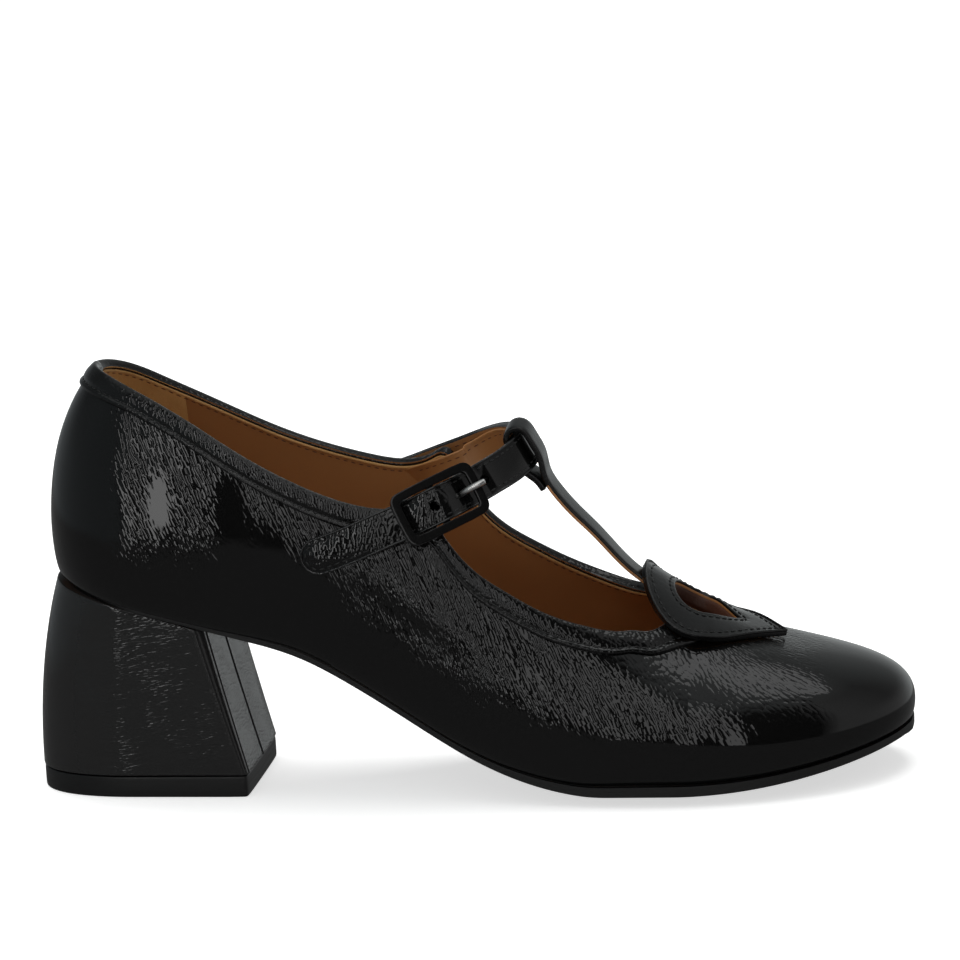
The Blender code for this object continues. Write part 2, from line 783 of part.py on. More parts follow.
def build_heel_block():
    """Block heel, flared to the floor, cut to the slope of the seat."""
    rings = []
    foot = TOP_LIFT_HEIGHT + SEAM_GAP
    for level in range(HEEL_LEVELS):
        share = level / (HEEL_LEVELS - 1)
        ring = []
        for x, y in heel_outline(share):
            seat = seat_height(x) - SEAM_GAP
            ring.append((x, y, foot + (seat - foot) * share))
        rings.append(ring)
    return solid("heel_block", rings, False, *PATENT)


def build_top_lift():
    """Plate that the heel stands on."""
    rings = [[(x, y, z) for x, y in heel_outline(0.0)] for z in (0.0, TOP_LIFT_HEIGHT)]
    return solid("heel_top_lift", rings, False, *SOLE_BLACK)


def strap_rows():
    """Middle line of the instep strap with outward normals, from the outer tip to the inner end."""
    half = 0.5 * STRAP_THICKNESS
    points = []
    normals = []
    for row in named_rows(STRAP_COLUMNS, STRAP_LATERAL):
        point, normal = quarter_point(row.x, row.height, -1, row.clear + half)
        points.append(point)
        normals.append(normal)
    lateral_normal = normals[-1]
    top_normal = np.array((math.cos(STRAP_LEAN), 0.0, math.sin(STRAP_LEAN)))
    inner = []
    for row in named_rows(STRAP_COLUMNS, STRAP_MEDIAL):
        inner.append(quarter_point(row.x, row.height, 1, row.clear + half))
    medial_normal = inner[0][1]
    count = len(STRAP_FREE_LATERAL) + 1
    for i, place in enumerate(STRAP_FREE_LATERAL):
        points.append(np.array(place))
        share = (i + 1) / count
        normals.append(lateral_normal * (1 - share) + top_normal * share)
    points.append(np.array(STRAP_TOP))
    normals.append(top_normal)
    for i, place in enumerate(STRAP_FREE_MEDIAL):
        points.append(np.array(place))
        share = (i + 1) / count
        normals.append(top_normal * (1 - share) + medial_normal * share)
    points += [point for point, _normal in inner]
    normals += [normal for _point, normal in inner]
    return np.array(points), np.array(normals)


class Ribbon:
    """Strap path with its own frame: along, across (upwards) and outward."""

    def __init__(self):
        points, normals = strap_rows()
        lengths = np.concatenate(([0.0], np.cumsum(np.linalg.norm(np.diff(points, axis=0), axis=1))))
        self.length = float(lengths[-1])
        self.path = [Curve(lengths, points[:, i]) for i in range(3)]
        self.lean = [Curve(lengths, normals[:, i]) for i in range(3)]
        self.buckle = solve(lambda s: self.middle(s)[0], BUCKLE_CENTRE, 0.0, 0.45 * self.length)

    def middle(self, s):
        return np.array([curve(s) for curve in self.path])

    def frame(self, s):
        """Unit vectors along the strap, across it and outwards."""
        ahead = self.middle(s + NEAR) - self.middle(s - NEAR)
        ahead /= np.linalg.norm(ahead)
        out = np.array([curve(s) for curve in self.lean])
        out -= ahead * (out @ ahead)
        out /= np.linalg.norm(out)
        return ahead, np.cross(out, ahead), out

    def weave(self, s):
        """Rise over the buckle's centre bar and dip under its end bars."""
        reach = 0.5 * BUCKLE_LENGTH
        away = abs(s - self.buckle) / reach
        past = max(0.0, away - 1.0) / WEAVE_FADE
        if past > 1.0:
            return 0.0
        fade = 0.5 + 0.5 * math.cos(math.pi * past)
        return WEAVE * math.cos(math.pi * away) * fade

    def at(self, s, across, out):
        ahead, up, outward = self.frame(s)
        return self.middle(s) + across * up + (out + self.weave(s)) * outward


def build_instep_strap(ribbon):
    """Strap with a round tip, woven through the buckle, with its row of holes."""
    half = 0.5 * STRAP_WIDTH
    thick = 0.5 * STRAP_THICKNESS
    tip = [half * (1.0 - math.cos(0.5 * math.pi * (i + TIP_FIRST) / TIP_STEPS)) for i in range(TIP_STEPS)]
    run = list(np.linspace(half, ribbon.length, int(ribbon.length / STRAP_STEP)))
    rings = []
    for s in tip + run:
        inside = max(0.0, 1.0 - s / half)
        width = half * math.sqrt(max(0.0, 1.0 - inside * inside))
        corners = ((-width, -thick), (width, -thick), (width, thick), (-width, thick))
        rings.append([ribbon.at(s, across, out) for across, out in corners])
    strap = solid("instep_strap", rings, False, *PATENT)
    for i in (-1, 0, 1):
        drill(strap, ribbon, ribbon.buckle + PRONG_PLACE + HOLE_PITCH * i)
    return strap


def drill(strap, ribbon, s):
    """Cut a round hole through the strap."""
    ahead, up, _outward = ribbon.frame(s)
    rings = []
    for out in (-2.0 * STRAP_THICKNESS, 2.0 * STRAP_THICKNESS):
        centre = ribbon.at(s, 0.0, out)
        ring = []
        for i in range(HOLE_SIDES):
            angle = 2.0 * math.pi * i / HOLE_SIDES
            ring.append(centre + 0.5 * PRONG_HOLE * (math.cos(angle) * ahead + math.sin(angle) * up))
        rings.append(ring)
    cutter = solid("strap_hole_%d" % len(strap.modifiers), rings, False, *PATENT)
    cutter.hide_render = True
    cutter.display_type = "WIRE"
    cut = strap.modifiers.new("hole", "BOOLEAN")
    cut.operation = "DIFFERENCE"
    cut.solver = "EXACT"
    cut.object = cutter


def t_bar_path():
    """Middle line of the T-bar in the spine's plane, with its outward normals, root to tail."""
    lean = np.array((math.cos(STRAP_LEAN), math.sin(STRAP_LEAN)))
    rise = np.array((-math.sin(STRAP_LEAN), math.cos(STRAP_LEAN)))
    centre = np.array((STRAP_TOP[0], STRAP_TOP[2]))
    off = 0.5 * STRAP_THICKNESS + LOOP_CLEAR + 0.5 * T_BAR_THICKNESS
    root_clear = SEAM_GAP + BAND_THICKNESS - 0.5 * T_BAR_THICKNESS - T_BAR_SINK
    points = [np.array((x, SHAPE["ridge"](x) + root_clear)) for x in T_BAR_ROOTS]
    points += [np.array(row) for row in T_BAR]
    top = 0.5 * STRAP_WIDTH - 0.5 * STRAP_THICKNESS
    points += [centre + off * lean + rise * along for along in LOOP_FRONT]
    for i in range(LOOP_TURN_STEPS + 1):
        angle = math.pi * i / LOOP_TURN_STEPS
        points.append(centre + rise * (top + off * math.sin(angle)) + lean * off * math.cos(angle))
    points += [centre - off * lean + rise * along for along in LOOP_BACK]
    points += [np.array(row) for row in TAIL]
    return np.array(points)


def build_t_bar():
    """T-bar from under the leaf up the instep, folded round the instep strap."""
    rows = t_bar_path()
    lengths = np.concatenate(([0.0], np.cumsum(np.linalg.norm(np.diff(rows, axis=0), axis=1))))
    path = [Curve(lengths, rows[:, i]) for i in range(2)]
    half = 0.5 * T_BAR_WIDTH
    thick = 0.5 * T_BAR_THICKNESS
    loop = lengths[len(T_BAR_ROOTS) + len(T_BAR)]
    rings = []
    for s in np.linspace(0.0, lengths[-1], T_BAR_STEPS):
        x, z = (curve(s) for curve in path)
        ahead = np.array([curve(s + NEAR) - curve(s - NEAR) for curve in path])
        ahead /= np.linalg.norm(ahead)
        tilt = T_BAR_TILT * min(1.0, max(0.0, s - lengths[2]) / (loop - lengths[2]))
        side = np.array((0.0, math.cos(tilt), math.sin(tilt)))
        out = np.array((ahead[1], 0.0, -ahead[0]))
        out -= side * (out @ side)
        out /= np.linalg.norm(out)
        ring = []
        for across, lift in ((-half, -thick), (half, -thick), (half, thick), (-half, thick)):
            ring.append(np.array((x, 0.0, z)) + side * across + out * lift)
        rings.append(ring)
    return solid("t_bar_strap", rings, False, *PATENT)


def rounded_rectangle(half_length, half_width, corner):
    """Closed outline, counter-clockwise."""
    points = []
    for quarter, (sx, sy) in enumerate(((1, 1), (-1, 1), (-1, -1), (1, -1))):
        for i in range(BUCKLE_CORNER_STEPS):
            angle = 0.5 * math.pi * (quarter + i / (BUCKLE_CORNER_STEPS - 1))
            x = sx * (half_length - corner) + corner * math.cos(angle)
            y = sy * (half_width - corner) + corner * math.sin(angle)
            points.append((x, y))
    return points


class BuckleFrame:
    """Flat frame of reference that the buckle is made in."""

    def __init__(self, ribbon):
        self.centre = ribbon.middle(ribbon.buckle)
        self.ahead, self.up, self.out = ribbon.frame(ribbon.buckle)

    def at(self, along, across, out):
        return self.centre + along * self.ahead + across * self.up + out * self.out


def build_buckle_frame(local):
    """Frame over the strap with a centre bar under it."""
    half_bar = 0.5 * BUCKLE_BAR
    half_depth = 0.5 * BUCKLE_DEPTH
    length = 0.5 * BUCKLE_LENGTH
    width = 0.5 * BUCKLE_WIDTH
    outer = rounded_rectangle(length, width, BUCKLE_CORNER)
    inner = rounded_rectangle(length - BUCKLE_BAR, width - BUCKLE_BAR, BUCKLE_INNER_CORNER)
    middle = WEAVE
    rings = []
    for (ox, oy), (ix, iy) in zip(outer, inner):
        section = ((ox, oy, -1), (ox, oy, 1), (ix, iy, 1), (ix, iy, -1))
        rings.append([local.at(x, y, middle + half_depth * level) for x, y, level in section])
    frame = solid("buckle_frame", rings, True, *PAINTED)
    side = width - half_bar
    low = WEAVE - 0.5 * STRAP_THICKNESS - SEAM_GAP - half_depth
    path = ((-side, middle), (-side, low), (side, low), (side, middle))
    bar_rings = []
    for i, (across, out) in enumerate(path):
        lean = half_depth if i in (1, 2) else 0.0
        end = math.copysign(half_depth, across)
        near = (across + end, out - lean)
        far = (across - end, out + lean)
        ring = [local.at(-half_depth, *near), local.at(half_depth, *near), local.at(half_depth, *far)]
        bar_rings.append(ring + [local.at(-half_depth, *far)])
    bar = solid("buckle_centre_bar", bar_rings, False, *PAINTED)
    bar.hide_render = True
    bar.display_type = "WIRE"
    joined = frame.modifiers.new("centre_bar", "BOOLEAN")
    joined.operation = "UNION"
    joined.solver = "EXACT"
    joined.object = bar
    return frame


def build_buckle_prong(local):
    """Pin from beside the centre bar, up through a hole, to rest on the end bar."""
    radius = 0.5 * PRONG_DIAMETER
    rest = WEAVE + 0.5 * BUCKLE_DEPTH + SEAM_GAP + radius
    rows = np.array(PRONG + ((PRONG_REST, rest), (PRONG_END, rest)))
    lengths = np.concatenate(([0.0], np.cumsum(np.linalg.norm(np.diff(rows, axis=0), axis=1))))
    path = [Curve(lengths, rows[:, i]) for i in range(2)]
    rings = []
    for s in np.linspace(0.0, lengths[-1], PRONG_STEPS):
        along, out = (curve(s) for curve in path)
        ahead = np.array([curve(s + NEAR) - curve(s - NEAR) for curve in path])
        ahead /= np.linalg.norm(ahead)
        ring = []
        for i in range(PRONG_SIDES):
            angle = 2.0 * math.pi * i / PRONG_SIDES
            lift = radius * math.cos(angle)
            ring.append(local.at(along - ahead[1] * lift, radius * math.sin(angle), out + ahead[0] * lift))
        rings.append(ring)
    return solid("buckle_prong", rings, False, *NICKEL, 1.0)


def clear_scene():
    """Remove the objects that the scene starts with."""
    for thing in list(bpy.data.objects):
        bpy.data.objects.remove(thing, do_unlink=True)


def centre_under_root(parts):
    """Scale to metres and put the origin under the middle of the shoe, on the floor."""
    shown = [part for part in parts if not part.hide_render]
    corners = np.array([vertex.co for part in shown for vertex in part.data.vertices])
    low = corners.min(axis=0)
    high = corners.max(axis=0)
    root = bpy.data.objects.new("root", None)
    bpy.context.scene.collection.objects.link(root)
    root.scale = (MM, MM, MM)
    root.location = (-0.5 * MM * (low[0] + high[0]), -0.5 * MM * (low[1] + high[1]), -MM * low[2])
    for part in parts:
        part.parent = root


def main():
    clear_scene()
    build_outsole()
    build_heel_block()
    build_top_lift()
    build_insole()
    build_upper()
    build_topline_band()
    build_vamp_overlay()
    ribbon = Ribbon()
    build_instep_strap(ribbon)
    build_t_bar()
    local = BuckleFrame(ribbon)
    build_buckle_frame(local)
    build_buckle_prong(local)
    centre_under_root(list(bpy.data.objects))


main()
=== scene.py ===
"""Looks of a T-strap mary jane pump: black crinkled patent leather, tan lining and a covered block heel.

Sizes are in millimetres in the shoe's own frame: x from the back of the heel to the toe, y to the
inner side of this right shoe, z up from the floor. Finished meshes are in metres in the part's frame.
"""

import json
import logging
import math
from dataclasses import dataclass
from enum import Enum, IntEnum
from typing import Callable, Sequence

import bmesh
import bpy
import numpy as np
from mathutils import Matrix, Vector, noise
from mathutils.bvhtree import BVHTree

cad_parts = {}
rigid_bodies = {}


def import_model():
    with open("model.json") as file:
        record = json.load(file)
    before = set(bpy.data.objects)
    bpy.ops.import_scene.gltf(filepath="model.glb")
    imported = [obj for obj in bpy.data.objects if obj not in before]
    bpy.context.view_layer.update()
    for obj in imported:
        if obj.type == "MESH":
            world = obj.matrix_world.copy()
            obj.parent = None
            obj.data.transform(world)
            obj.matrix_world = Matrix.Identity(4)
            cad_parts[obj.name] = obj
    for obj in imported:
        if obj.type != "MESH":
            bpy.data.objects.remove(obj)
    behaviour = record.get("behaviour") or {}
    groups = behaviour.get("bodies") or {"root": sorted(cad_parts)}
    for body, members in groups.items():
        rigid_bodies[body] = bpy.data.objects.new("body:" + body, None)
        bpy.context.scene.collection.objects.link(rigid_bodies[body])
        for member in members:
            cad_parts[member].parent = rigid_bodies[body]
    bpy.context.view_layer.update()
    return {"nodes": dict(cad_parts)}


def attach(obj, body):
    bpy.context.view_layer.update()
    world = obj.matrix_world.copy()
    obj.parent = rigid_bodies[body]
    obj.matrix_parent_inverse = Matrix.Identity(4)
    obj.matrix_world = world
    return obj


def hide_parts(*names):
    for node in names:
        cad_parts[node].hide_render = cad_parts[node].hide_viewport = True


LOG = logging.getLogger("pump")
MM = 0.001
ORIGIN = np.array((116.6673, -0.2319, 0.0))
BODY = "root"
HALVINGS = 40
SHARP_DEG = 48.0
SEAM_WELD_M = 1e-7
SOLID_WELD_M = 2e-6
PLACE_DIGITS = 7

Row = tuple[float, ...]
Pair = tuple[float, float]
Triple = tuple[float, float, float]
Loop = list[Vector]
Socket = bpy.types.NodeSocket
Inputs = dict[str | int, object]


def to_part(points: np.ndarray) -> np.ndarray:
    """Shoe millimetres to part metres."""
    return (np.asarray(points, float) - ORIGIN) * MM


def to_shoe(point: Sequence[float]) -> np.ndarray:
    """Part metres to shoe millimetres."""
    return np.asarray(point, float) / MM + ORIGIN


def vectors(points: np.ndarray) -> Loop:
    """Rows of an array as vectors."""
    return [Vector(point) for point in points]


def linear(code: str) -> tuple[float, float, float, float]:
    """Turn an sRGB hex colour into a linear one.

    Args:
        code: Six hex digits, such as "a36a30".

    Returns:
        Linear red, green, blue and an alpha of 1.
    """
    parts = [int(code[i : i + 2], 16) / 255.0 for i in (0, 2, 4)]
    shades = [c / 12.92 if c <= 0.04045 else ((c + 0.055) / 1.055) ** 2.4 for c in parts]
    return (shades[0], shades[1], shades[2], 1.0)


def smoothstep(value: float) -> float:
    """Ease between 0 and 1."""
    share = min(1.0, max(0.0, value))
    return share * share * (3.0 - 2.0 * share)


class Wiring:
    """Short calls that add nodes to a tree and join them up."""

    def __init__(self, tree: bpy.types.NodeTree) -> None:
        """Take the tree that gets the nodes."""
        self.tree = tree

    def fill(self, node: bpy.types.Node, inputs: Inputs) -> None:
        """Set or link inputs of a node.

        Args:
            node: Node of the tree.
            inputs: Socket name or number to a fixed value, or to the output that feeds it.
        """
        for key, value in inputs.items():
            if isinstance(value, Socket):
                self.tree.links.new(value, node.inputs[key])
            else:
                node.inputs[key].default_value = value

    def add(self, kind: str, inputs: Inputs, **settings: object) -> bpy.types.Node:
        """Add a node.

        Args:
            kind: Blender's name of the node's type.
            inputs: Socket name or number to a fixed value, or to the output that feeds it.
            settings: Properties of the node itself.

        Returns:
            The new node.
        """
        node = self.tree.nodes.new(kind)
        for name, value in settings.items():
            setattr(node, name, value)
        self.fill(node, inputs)
        return node

    def place(self, kind: str = "Object") -> Socket:
        """Texture coordinates of one kind."""
        return self.add("ShaderNodeTexCoord", {}).outputs[kind]

    def split(self, place: Socket) -> dict[str, Socket]:
        """X, Y and Z of a place."""
        return dict(self.add("ShaderNodeSeparateXYZ", {0: place}).outputs.items())

    def math(self, operation: str, *terms: float | Socket) -> Socket:
        """Result of a calculation with numbers and outputs."""
        return self.add("ShaderNodeMath", dict(enumerate(terms)), operation=operation).outputs[0]

    def vector(self, operation: str, inputs: Inputs, output: int | str = 0) -> Socket:
        """Result of a calculation with vectors."""
        return self.add("ShaderNodeVectorMath", inputs, operation=operation).outputs[output]

    def noise(self, place: Socket, scale: float, detail: float, roughness: float = 0.5) -> bpy.types.Node:
        """Noise texture on a place."""
        inputs = {"Vector": place, "Scale": scale, "Detail": detail, "Roughness": roughness}
        return self.add("ShaderNodeTexNoise", inputs)

    def ranged(
        self, value: Socket, old: Sequence[float], new: Pair = (0.0, 1.0), eased: bool = False
    ) -> Socket:
        """Carry a value from one range over to another, held at its ends.

        Args:
            value: Output that gives the value.
            old: Start and end of the first range.
            new: Start and end of the other range.
            eased: Whether it starts and stops gently.

        Returns:
            Output with the new value.
        """
        names = ("Value", "From Min", "From Max", "To Min", "To Max")
        kind = "SMOOTHSTEP" if eased else "LINEAR"
        inputs = dict(zip(names, (value, *old, *new)))
        return self.add("ShaderNodeMapRange", inputs, interpolation_type=kind).outputs[0]

    def laid(self, place: Socket, pitch_mm: Row, **inputs: object) -> Socket:
        """Lay out a pattern on a place.

        Args:
            place: Texture coordinates in metres.
            pitch_mm: Size of one cell of the pattern along each axis.
            inputs: Location or Rotation of the pattern.

        Returns:
            Place in cells of the pattern.
        """
        scale = tuple(pitch * MM for pitch in pitch_mm)
        return self.add(
            "ShaderNodeMapping", {"Vector": place, "Scale": scale, **inputs}, vector_type="TEXTURE"
        ).outputs[0]

    def bump(
        self, height: Socket, depth_mm: float, strength: float = 1.0, invert: bool = False
    ) -> Socket:
        """Normal of a surface with a relief."""
        inputs = {"Height": height, "Strength": strength, "Distance": depth_mm * MM}
        return self.add("ShaderNodeBump", inputs, invert=invert).outputs[0]

    def mix(self, share: Socket, first: object, second: object) -> Socket:
        """Blend of two colours."""
        inputs = {"Factor": share, "A": first, "B": second}
        return self.add("ShaderNodeMix", inputs, data_type="RGBA").outputs["Result"]


class Pattern(Enum):
    """What a surface pattern is laid out on."""

    OBJECT = "Object"
    SKIN = "UV"


class Ply(IntEnum):
    """Material number of a layer of a lined piece."""

    LEATHER = 0
    LINING = 1
    GRIP = 2


class Finish:
    """A material that is made once and shared by the pieces that wear it."""

    name: str

    def material(self) -> bpy.types.Material:
        """Make the material, or find it if it is there already.

        Returns:
            The material with its nodes wired.
        """
        known = bpy.data.materials.get(self.name)
        if known is not None:
            return known
        made = bpy.data.materials.new(self.name)
        made.use_nodes = True
        net = Wiring(made.node_tree)
        net.fill(made.node_tree.nodes["Principled BSDF"], self.look(net))
        return made

    def look(self, net: Wiring) -> Inputs:
        """Wire the patterns of the finish.

        Args:
            net: Wiring of the material.

        Returns:
            Inputs of its Principled shader.
        """
        raise NotImplementedError


@dataclass(frozen=True)
class PatentLeather(Finish):
    """Calf leather under a poured polyurethane film, crinkled while it cured.

    The film gives a hard wet gloss over near-black, broken by fine rounded folds that catch the light.
    Lasting pulls the folds flat over counter, toe and some spots on the sides.
    """

    name: str
    pattern: Pattern = Pattern.OBJECT
    colour: str = "050505"
    pitch_mm: Triple = (0.9, 0.9, 1.3)
    turn_deg: Triple = (0.0, 0.0, 0.0)
    depth_mm: float = 0.07
    wander: float = 1.2
    wander_scale: float = 0.32
    fold_smoothness: float = 0.25
    fold_randomness: float = 0.85
    smooth_back_mm: Pair = (-60.0, -50.0)
    smooth_toe_mm: Pair = (300.0, 310.0)
    smooth_foot_mm: Pair = (9.0, 17.0)
    # Columns of each spot: place along the shoe, height, and the half-axes of its oval.
    smooth_spots_mm: tuple[Row, ...] = ()
    spot_fade: Pair = (0.3, 1.5)
    lean: float = 0.0
    stray_mm: float = 12.0
    patchy: float = 0.0
    patch_scale: float = 90.0
    patch_detail: float = 3.0
    patch_range: Pair = (0.42, 0.62)
    roughness: float = 0.5
    specular: float = 0.05
    coat_ior: float = 1.5
    gloss_roughness: float = 0.035

    def look(self, net: Wiring) -> Inputs:
        """Set the gloss and wire the crinkle.

        Args:
            net: Wiring of the material.

        Returns:
            Inputs of its Principled shader.
        """
        turn = tuple(math.radians(angle) for angle in self.turn_deg)
        laid = net.laid(net.place(self.pattern.value), self.pitch_mm, Rotation=turn)
        drift = net.noise(laid, self.wander_scale, 1.0).outputs["Color"]
        centred = net.vector("SUBTRACT", {0: drift, 1: (0.5, 0.5, 0.5)})
        pulled = net.vector("SCALE", {0: centred, "Scale": self.wander})
        cells = {
            "Vector": net.vector("ADD", {0: laid, 1: pulled}),
            "Scale": 1.0,
            "Smoothness": self.fold_smoothness,
            "Randomness": self.fold_randomness,
        }
        folds = net.add("ShaderNodeTexVoronoi", cells, feature="SMOOTH_F1").outputs["Distance"]
        domes = net.math("MULTIPLY", folds, folds)
        crinkle = net.math("MULTIPLY", domes, self.crinkled_share(net))
        relief = net.bump(crinkle, self.depth_mm, invert=True)
        return {
            "Base Color": linear(self.colour),
            "Roughness": self.roughness,
            "Specular IOR Level": self.specular,
            "Coat Weight": 1.0,
            "Coat IOR": self.coat_ior,
            "Coat Roughness": self.gloss_roughness,
            "Normal": relief,
            "Coat Normal": relief,
        }

    def crinkled_share(self, net: Wiring) -> Socket:
        """How strong the crinkle is.

        Args:
            net: Wiring of the material.

        Returns:
            Output with a share from 0 to 1.
        """
        place = net.place()
        axes = net.split(place)
        cloud = net.noise(place, self.patch_scale, self.patch_detail).outputs["Fac"]
        stray = net.math("MULTIPLY_ADD", cloud, 2.0 * self.stray_mm * MM, -self.stray_mm * MM)
        leant = net.math("MULTIPLY_ADD", axes["Z"], self.lean, stray)
        along = net.math("ADD", axes["X"], leant)
        back = [(x - ORIGIN[0]) * MM for x in self.smooth_back_mm]
        toe = [(x - ORIGIN[0]) * MM for x in self.smooth_toe_mm]
        shares = [
            net.ranged(along, back, eased=True),
            net.ranged(along, toe, (1.0, 0.0), eased=True),
            net.ranged(cloud, self.patch_range, (1.0 - self.patchy, 1.0)),
        ]
        if self.pattern is Pattern.SKIN:
            up = net.split(net.place("UV"))["Y"]
            shares.append(net.ranged(up, [height * MM for height in self.smooth_foot_mm], eased=True))
        for x, z, length, height in self.smooth_spots_mm:
            middle = ((x - ORIGIN[0]) * MM, 0.0, z * MM)
            oval = net.laid(place, (length, 1.0 / MM, height), Location=middle)
            away = net.vector("LENGTH", {0: oval}, "Value")
            shares.append(net.ranged(away, self.spot_fade, eased=True))
        share = shares[0]
        for other in shares[1:]:
            share = net.math("MULTIPLY", share, other)
        return share


@dataclass(frozen=True)
class LiningLeather(Finish):
    """Vegetable-tanned lining leather, drum-dyed and plated smooth.

    A warm satin tan with fine pores, cloudier where the dye took unevenly. The heel grip copy is lighter,
    partly as painted sheen, and the keyhole facing copy is darkened as painted shade.
    """

    name: str
    light: str = "a8713a"
    dark: str = "8a5626"
    dye_range: Pair = (0.3, 0.7)
    cloud_mm: float = 22.0
    cloud_detail: float = 5.0
    cloud_roughness: float = 0.6
    pore_mm: float = 0.7
    pore_depth_mm: float = 0.08
    pore_strength: float = 0.5
    roughness: float = 0.5
    ior: float = 1.45
    sheen: float = 0.12

    def look(self, net: Wiring) -> Inputs:
        """Set the satin and wire dye clouds and pores.

        Args:
            net: Wiring of the material.

        Returns:
            Inputs of its Principled shader.
        """
        place = net.place()
        cloud = net.noise(place, 1.0 / (self.cloud_mm * MM), self.cloud_detail, self.cloud_roughness)
        dye = net.add("ShaderNodeValToRGB", {"Fac": cloud.outputs["Fac"]})
        for stop, position, code in zip(dye.color_ramp.elements, self.dye_range, (self.dark, self.light)):
            stop.position = position
            stop.color = linear(code)
        pores = net.add("ShaderNodeTexVoronoi", {"Vector": place, "Scale": 1.0 / (self.pore_mm * MM)})
        return {
            "Base Color": dye.outputs["Color"],
            "Roughness": self.roughness,
            "IOR": self.ior,
            "Sheen Weight": self.sheen,
            "Normal": net.bump(pores.outputs["Distance"], self.pore_depth_mm, self.pore_strength),
        }


@dataclass(frozen=True)
class SoleComposition(Finish):
    """Moulded black sole composition with an inked, waxed edge.

    A satin charcoal with faint trimming marks that run round the edge.
    """

    name: str
    colour: str = "1b1b1a"
    roughness: float = 0.42
    duller: Pair = (-0.08, 0.12)
    ior: float = 1.5
    mark_mm: float = 0.5
    mark_run_per_m: float = 60.0
    mark_depth_mm: float = 0.06
    mark_strength: float = 0.35

    def look(self, net: Wiring) -> Inputs:
        """Set the satin and wire the trimming marks.

        Args:
            net: Wiring of the material.

        Returns:
            Inputs of its Principled shader.
        """
        scale = (self.mark_run_per_m, self.mark_run_per_m, 1.0 / (self.mark_mm * MM))
        laid = net.add("ShaderNodeMapping", {"Vector": net.place(), "Scale": scale}).outputs[0]
        marks = net.noise(laid, 1.0, 3.0).outputs["Fac"]
        gloss = (self.roughness + self.duller[0], self.roughness + self.duller[1])
        return {
            "Base Color": linear(self.colour),
            "Roughness": net.ranged(marks, (0.0, 1.0), gloss),
            "IOR": self.ior,
            "Normal": net.bump(marks, self.mark_depth_mm, self.mark_strength),
        }


@dataclass(frozen=True)
class StovedEnamel(Finish):
    """Zinc casting under black stoved enamel: a deep gloss with a faint orange peel."""

    name: str
    colour: str = "060606"
    roughness: float = 0.34
    ior: float = 1.52
    specular: float = 0.1
    coat: float = 0.7
    coat_roughness: float = 0.05
    peel_mm: float = 1.2
    peel_depth_mm: float = 0.05
    peel_strength: float = 0.25

    def look(self, net: Wiring) -> Inputs:
        """Set the gloss and wire the orange peel.

        Args:
            net: Wiring of the material.

        Returns:
            Inputs of its Principled shader.
        """
        peel = net.noise(net.place(), 1.0 / (self.peel_mm * MM), 1.0).outputs["Fac"]
        return {
            "Base Color": linear(self.colour),
            "Roughness": self.roughness,
            "IOR": self.ior,
            "Specular IOR Level": self.specular,
            "Coat Weight": self.coat,
            "Coat Roughness": self.coat_roughness,
            "Normal": net.bump(peel, self.peel_depth_mm, self.peel_strength),
        }


@dataclass(frozen=True)
class PlatedNickel(Finish):
    """Drawn steel pin, barrel-polished and nickel plated: bright, with fine draw marks in its gloss."""

    name: str
    colour: str = "f6f5f2"
    mark_mm: float = 0.25
    roughness: Pair = (0.22, 0.36)

    def look(self, net: Wiring) -> Inputs:
        """Set the metal and wire the draw marks.

        Args:
            net: Wiring of the material.

        Returns:
            Inputs of its Principled shader.
        """
        marks = net.noise(net.place(), 1.0 / (self.mark_mm * MM), 2.0).outputs["Fac"]
        return {
            "Base Color": linear(self.colour),
            "Metallic": 1.0,
            "Roughness": net.ranged(marks, (0.0, 1.0), self.roughness),
        }


@dataclass(frozen=True)
class BondedThread(Finish):
    """Bonded polyester sewing thread: a soft sheen over its twist."""

    name: str
    colour: str = "141414"
    roughness: float = 0.42
    twist_mm: float = 0.35
    twist_bands: float = 0.32
    twist_depth_mm: float = 0.06
    twist_strength: float = 0.4

    def look(self, net: Wiring) -> Inputs:
        """Set the sheen and wire the twist.

        Args:
            net: Wiring of the material.

        Returns:
            Inputs of its Principled shader.
        """
        bands = {
            "Vector": net.place(),
            "Scale": self.twist_bands / (self.twist_mm * MM),
            "Distortion": 1.0,
        }
        twist = net.add("ShaderNodeTexWave", bands, bands_direction="DIAGONAL").outputs["Fac"]
        return {
            "Base Color": linear(self.colour),
            "Roughness": self.roughness,
            "Normal": net.bump(twist, self.twist_depth_mm, self.twist_strength),
        }


@dataclass(frozen=True)
class PaintedFloor(Finish):
    """Studio floor in white matt paint, lifted a little so that it stays pale away from the lights."""

    name: str
    colour: str = "f2f2f1"
    roughness: float = 0.9
    lift: float = 0.62

    def look(self, net: Wiring) -> Inputs:
        """Set the matt white.

        Args:
            net: Wiring of the material.

        Returns:
            Inputs of its Principled shader.
        """
        return {
            "Base Color": linear(self.colour),
            "Roughness": self.roughness,
            "Specular IOR Level": 0.0,
            "Emission Color": linear("ffffff"),
            "Emission Strength": self.lift,
        }


SKIN = PatentLeather(
    "patent_leather_lasted",
    Pattern.SKIN,
    pitch_mm=(1.1, 2.0, 1.0),
    turn_deg=(0.0, 0.0, 32.0),
    depth_mm=0.13,
    smooth_back_mm=(37.0, 51.0),
    smooth_toe_mm=(216.0, 230.0),
    smooth_spots_mm=(
        (38.0, 83.0, 4.0, 13.0),
        (58.0, 80.0, 5.0, 12.0),
        (68.0, 69.0, 7.0, 9.0),
        (80.0, 60.0, 8.0, 7.0),
    ),
    patchy=0.4,
    lean=0.24,
)
TRIM = PatentLeather(
    "patent_leather_trim", depth_mm=0.15, pitch_mm=(1.2, 1.2, 1.4), smooth_back_mm=(12.0, 26.0)
)
STRAP = PatentLeather(
    "patent_leather_strap", depth_mm=0.14, pitch_mm=(1.5, 1.5, 1.6), smooth_toe_mm=(115.0, 124.0)
)
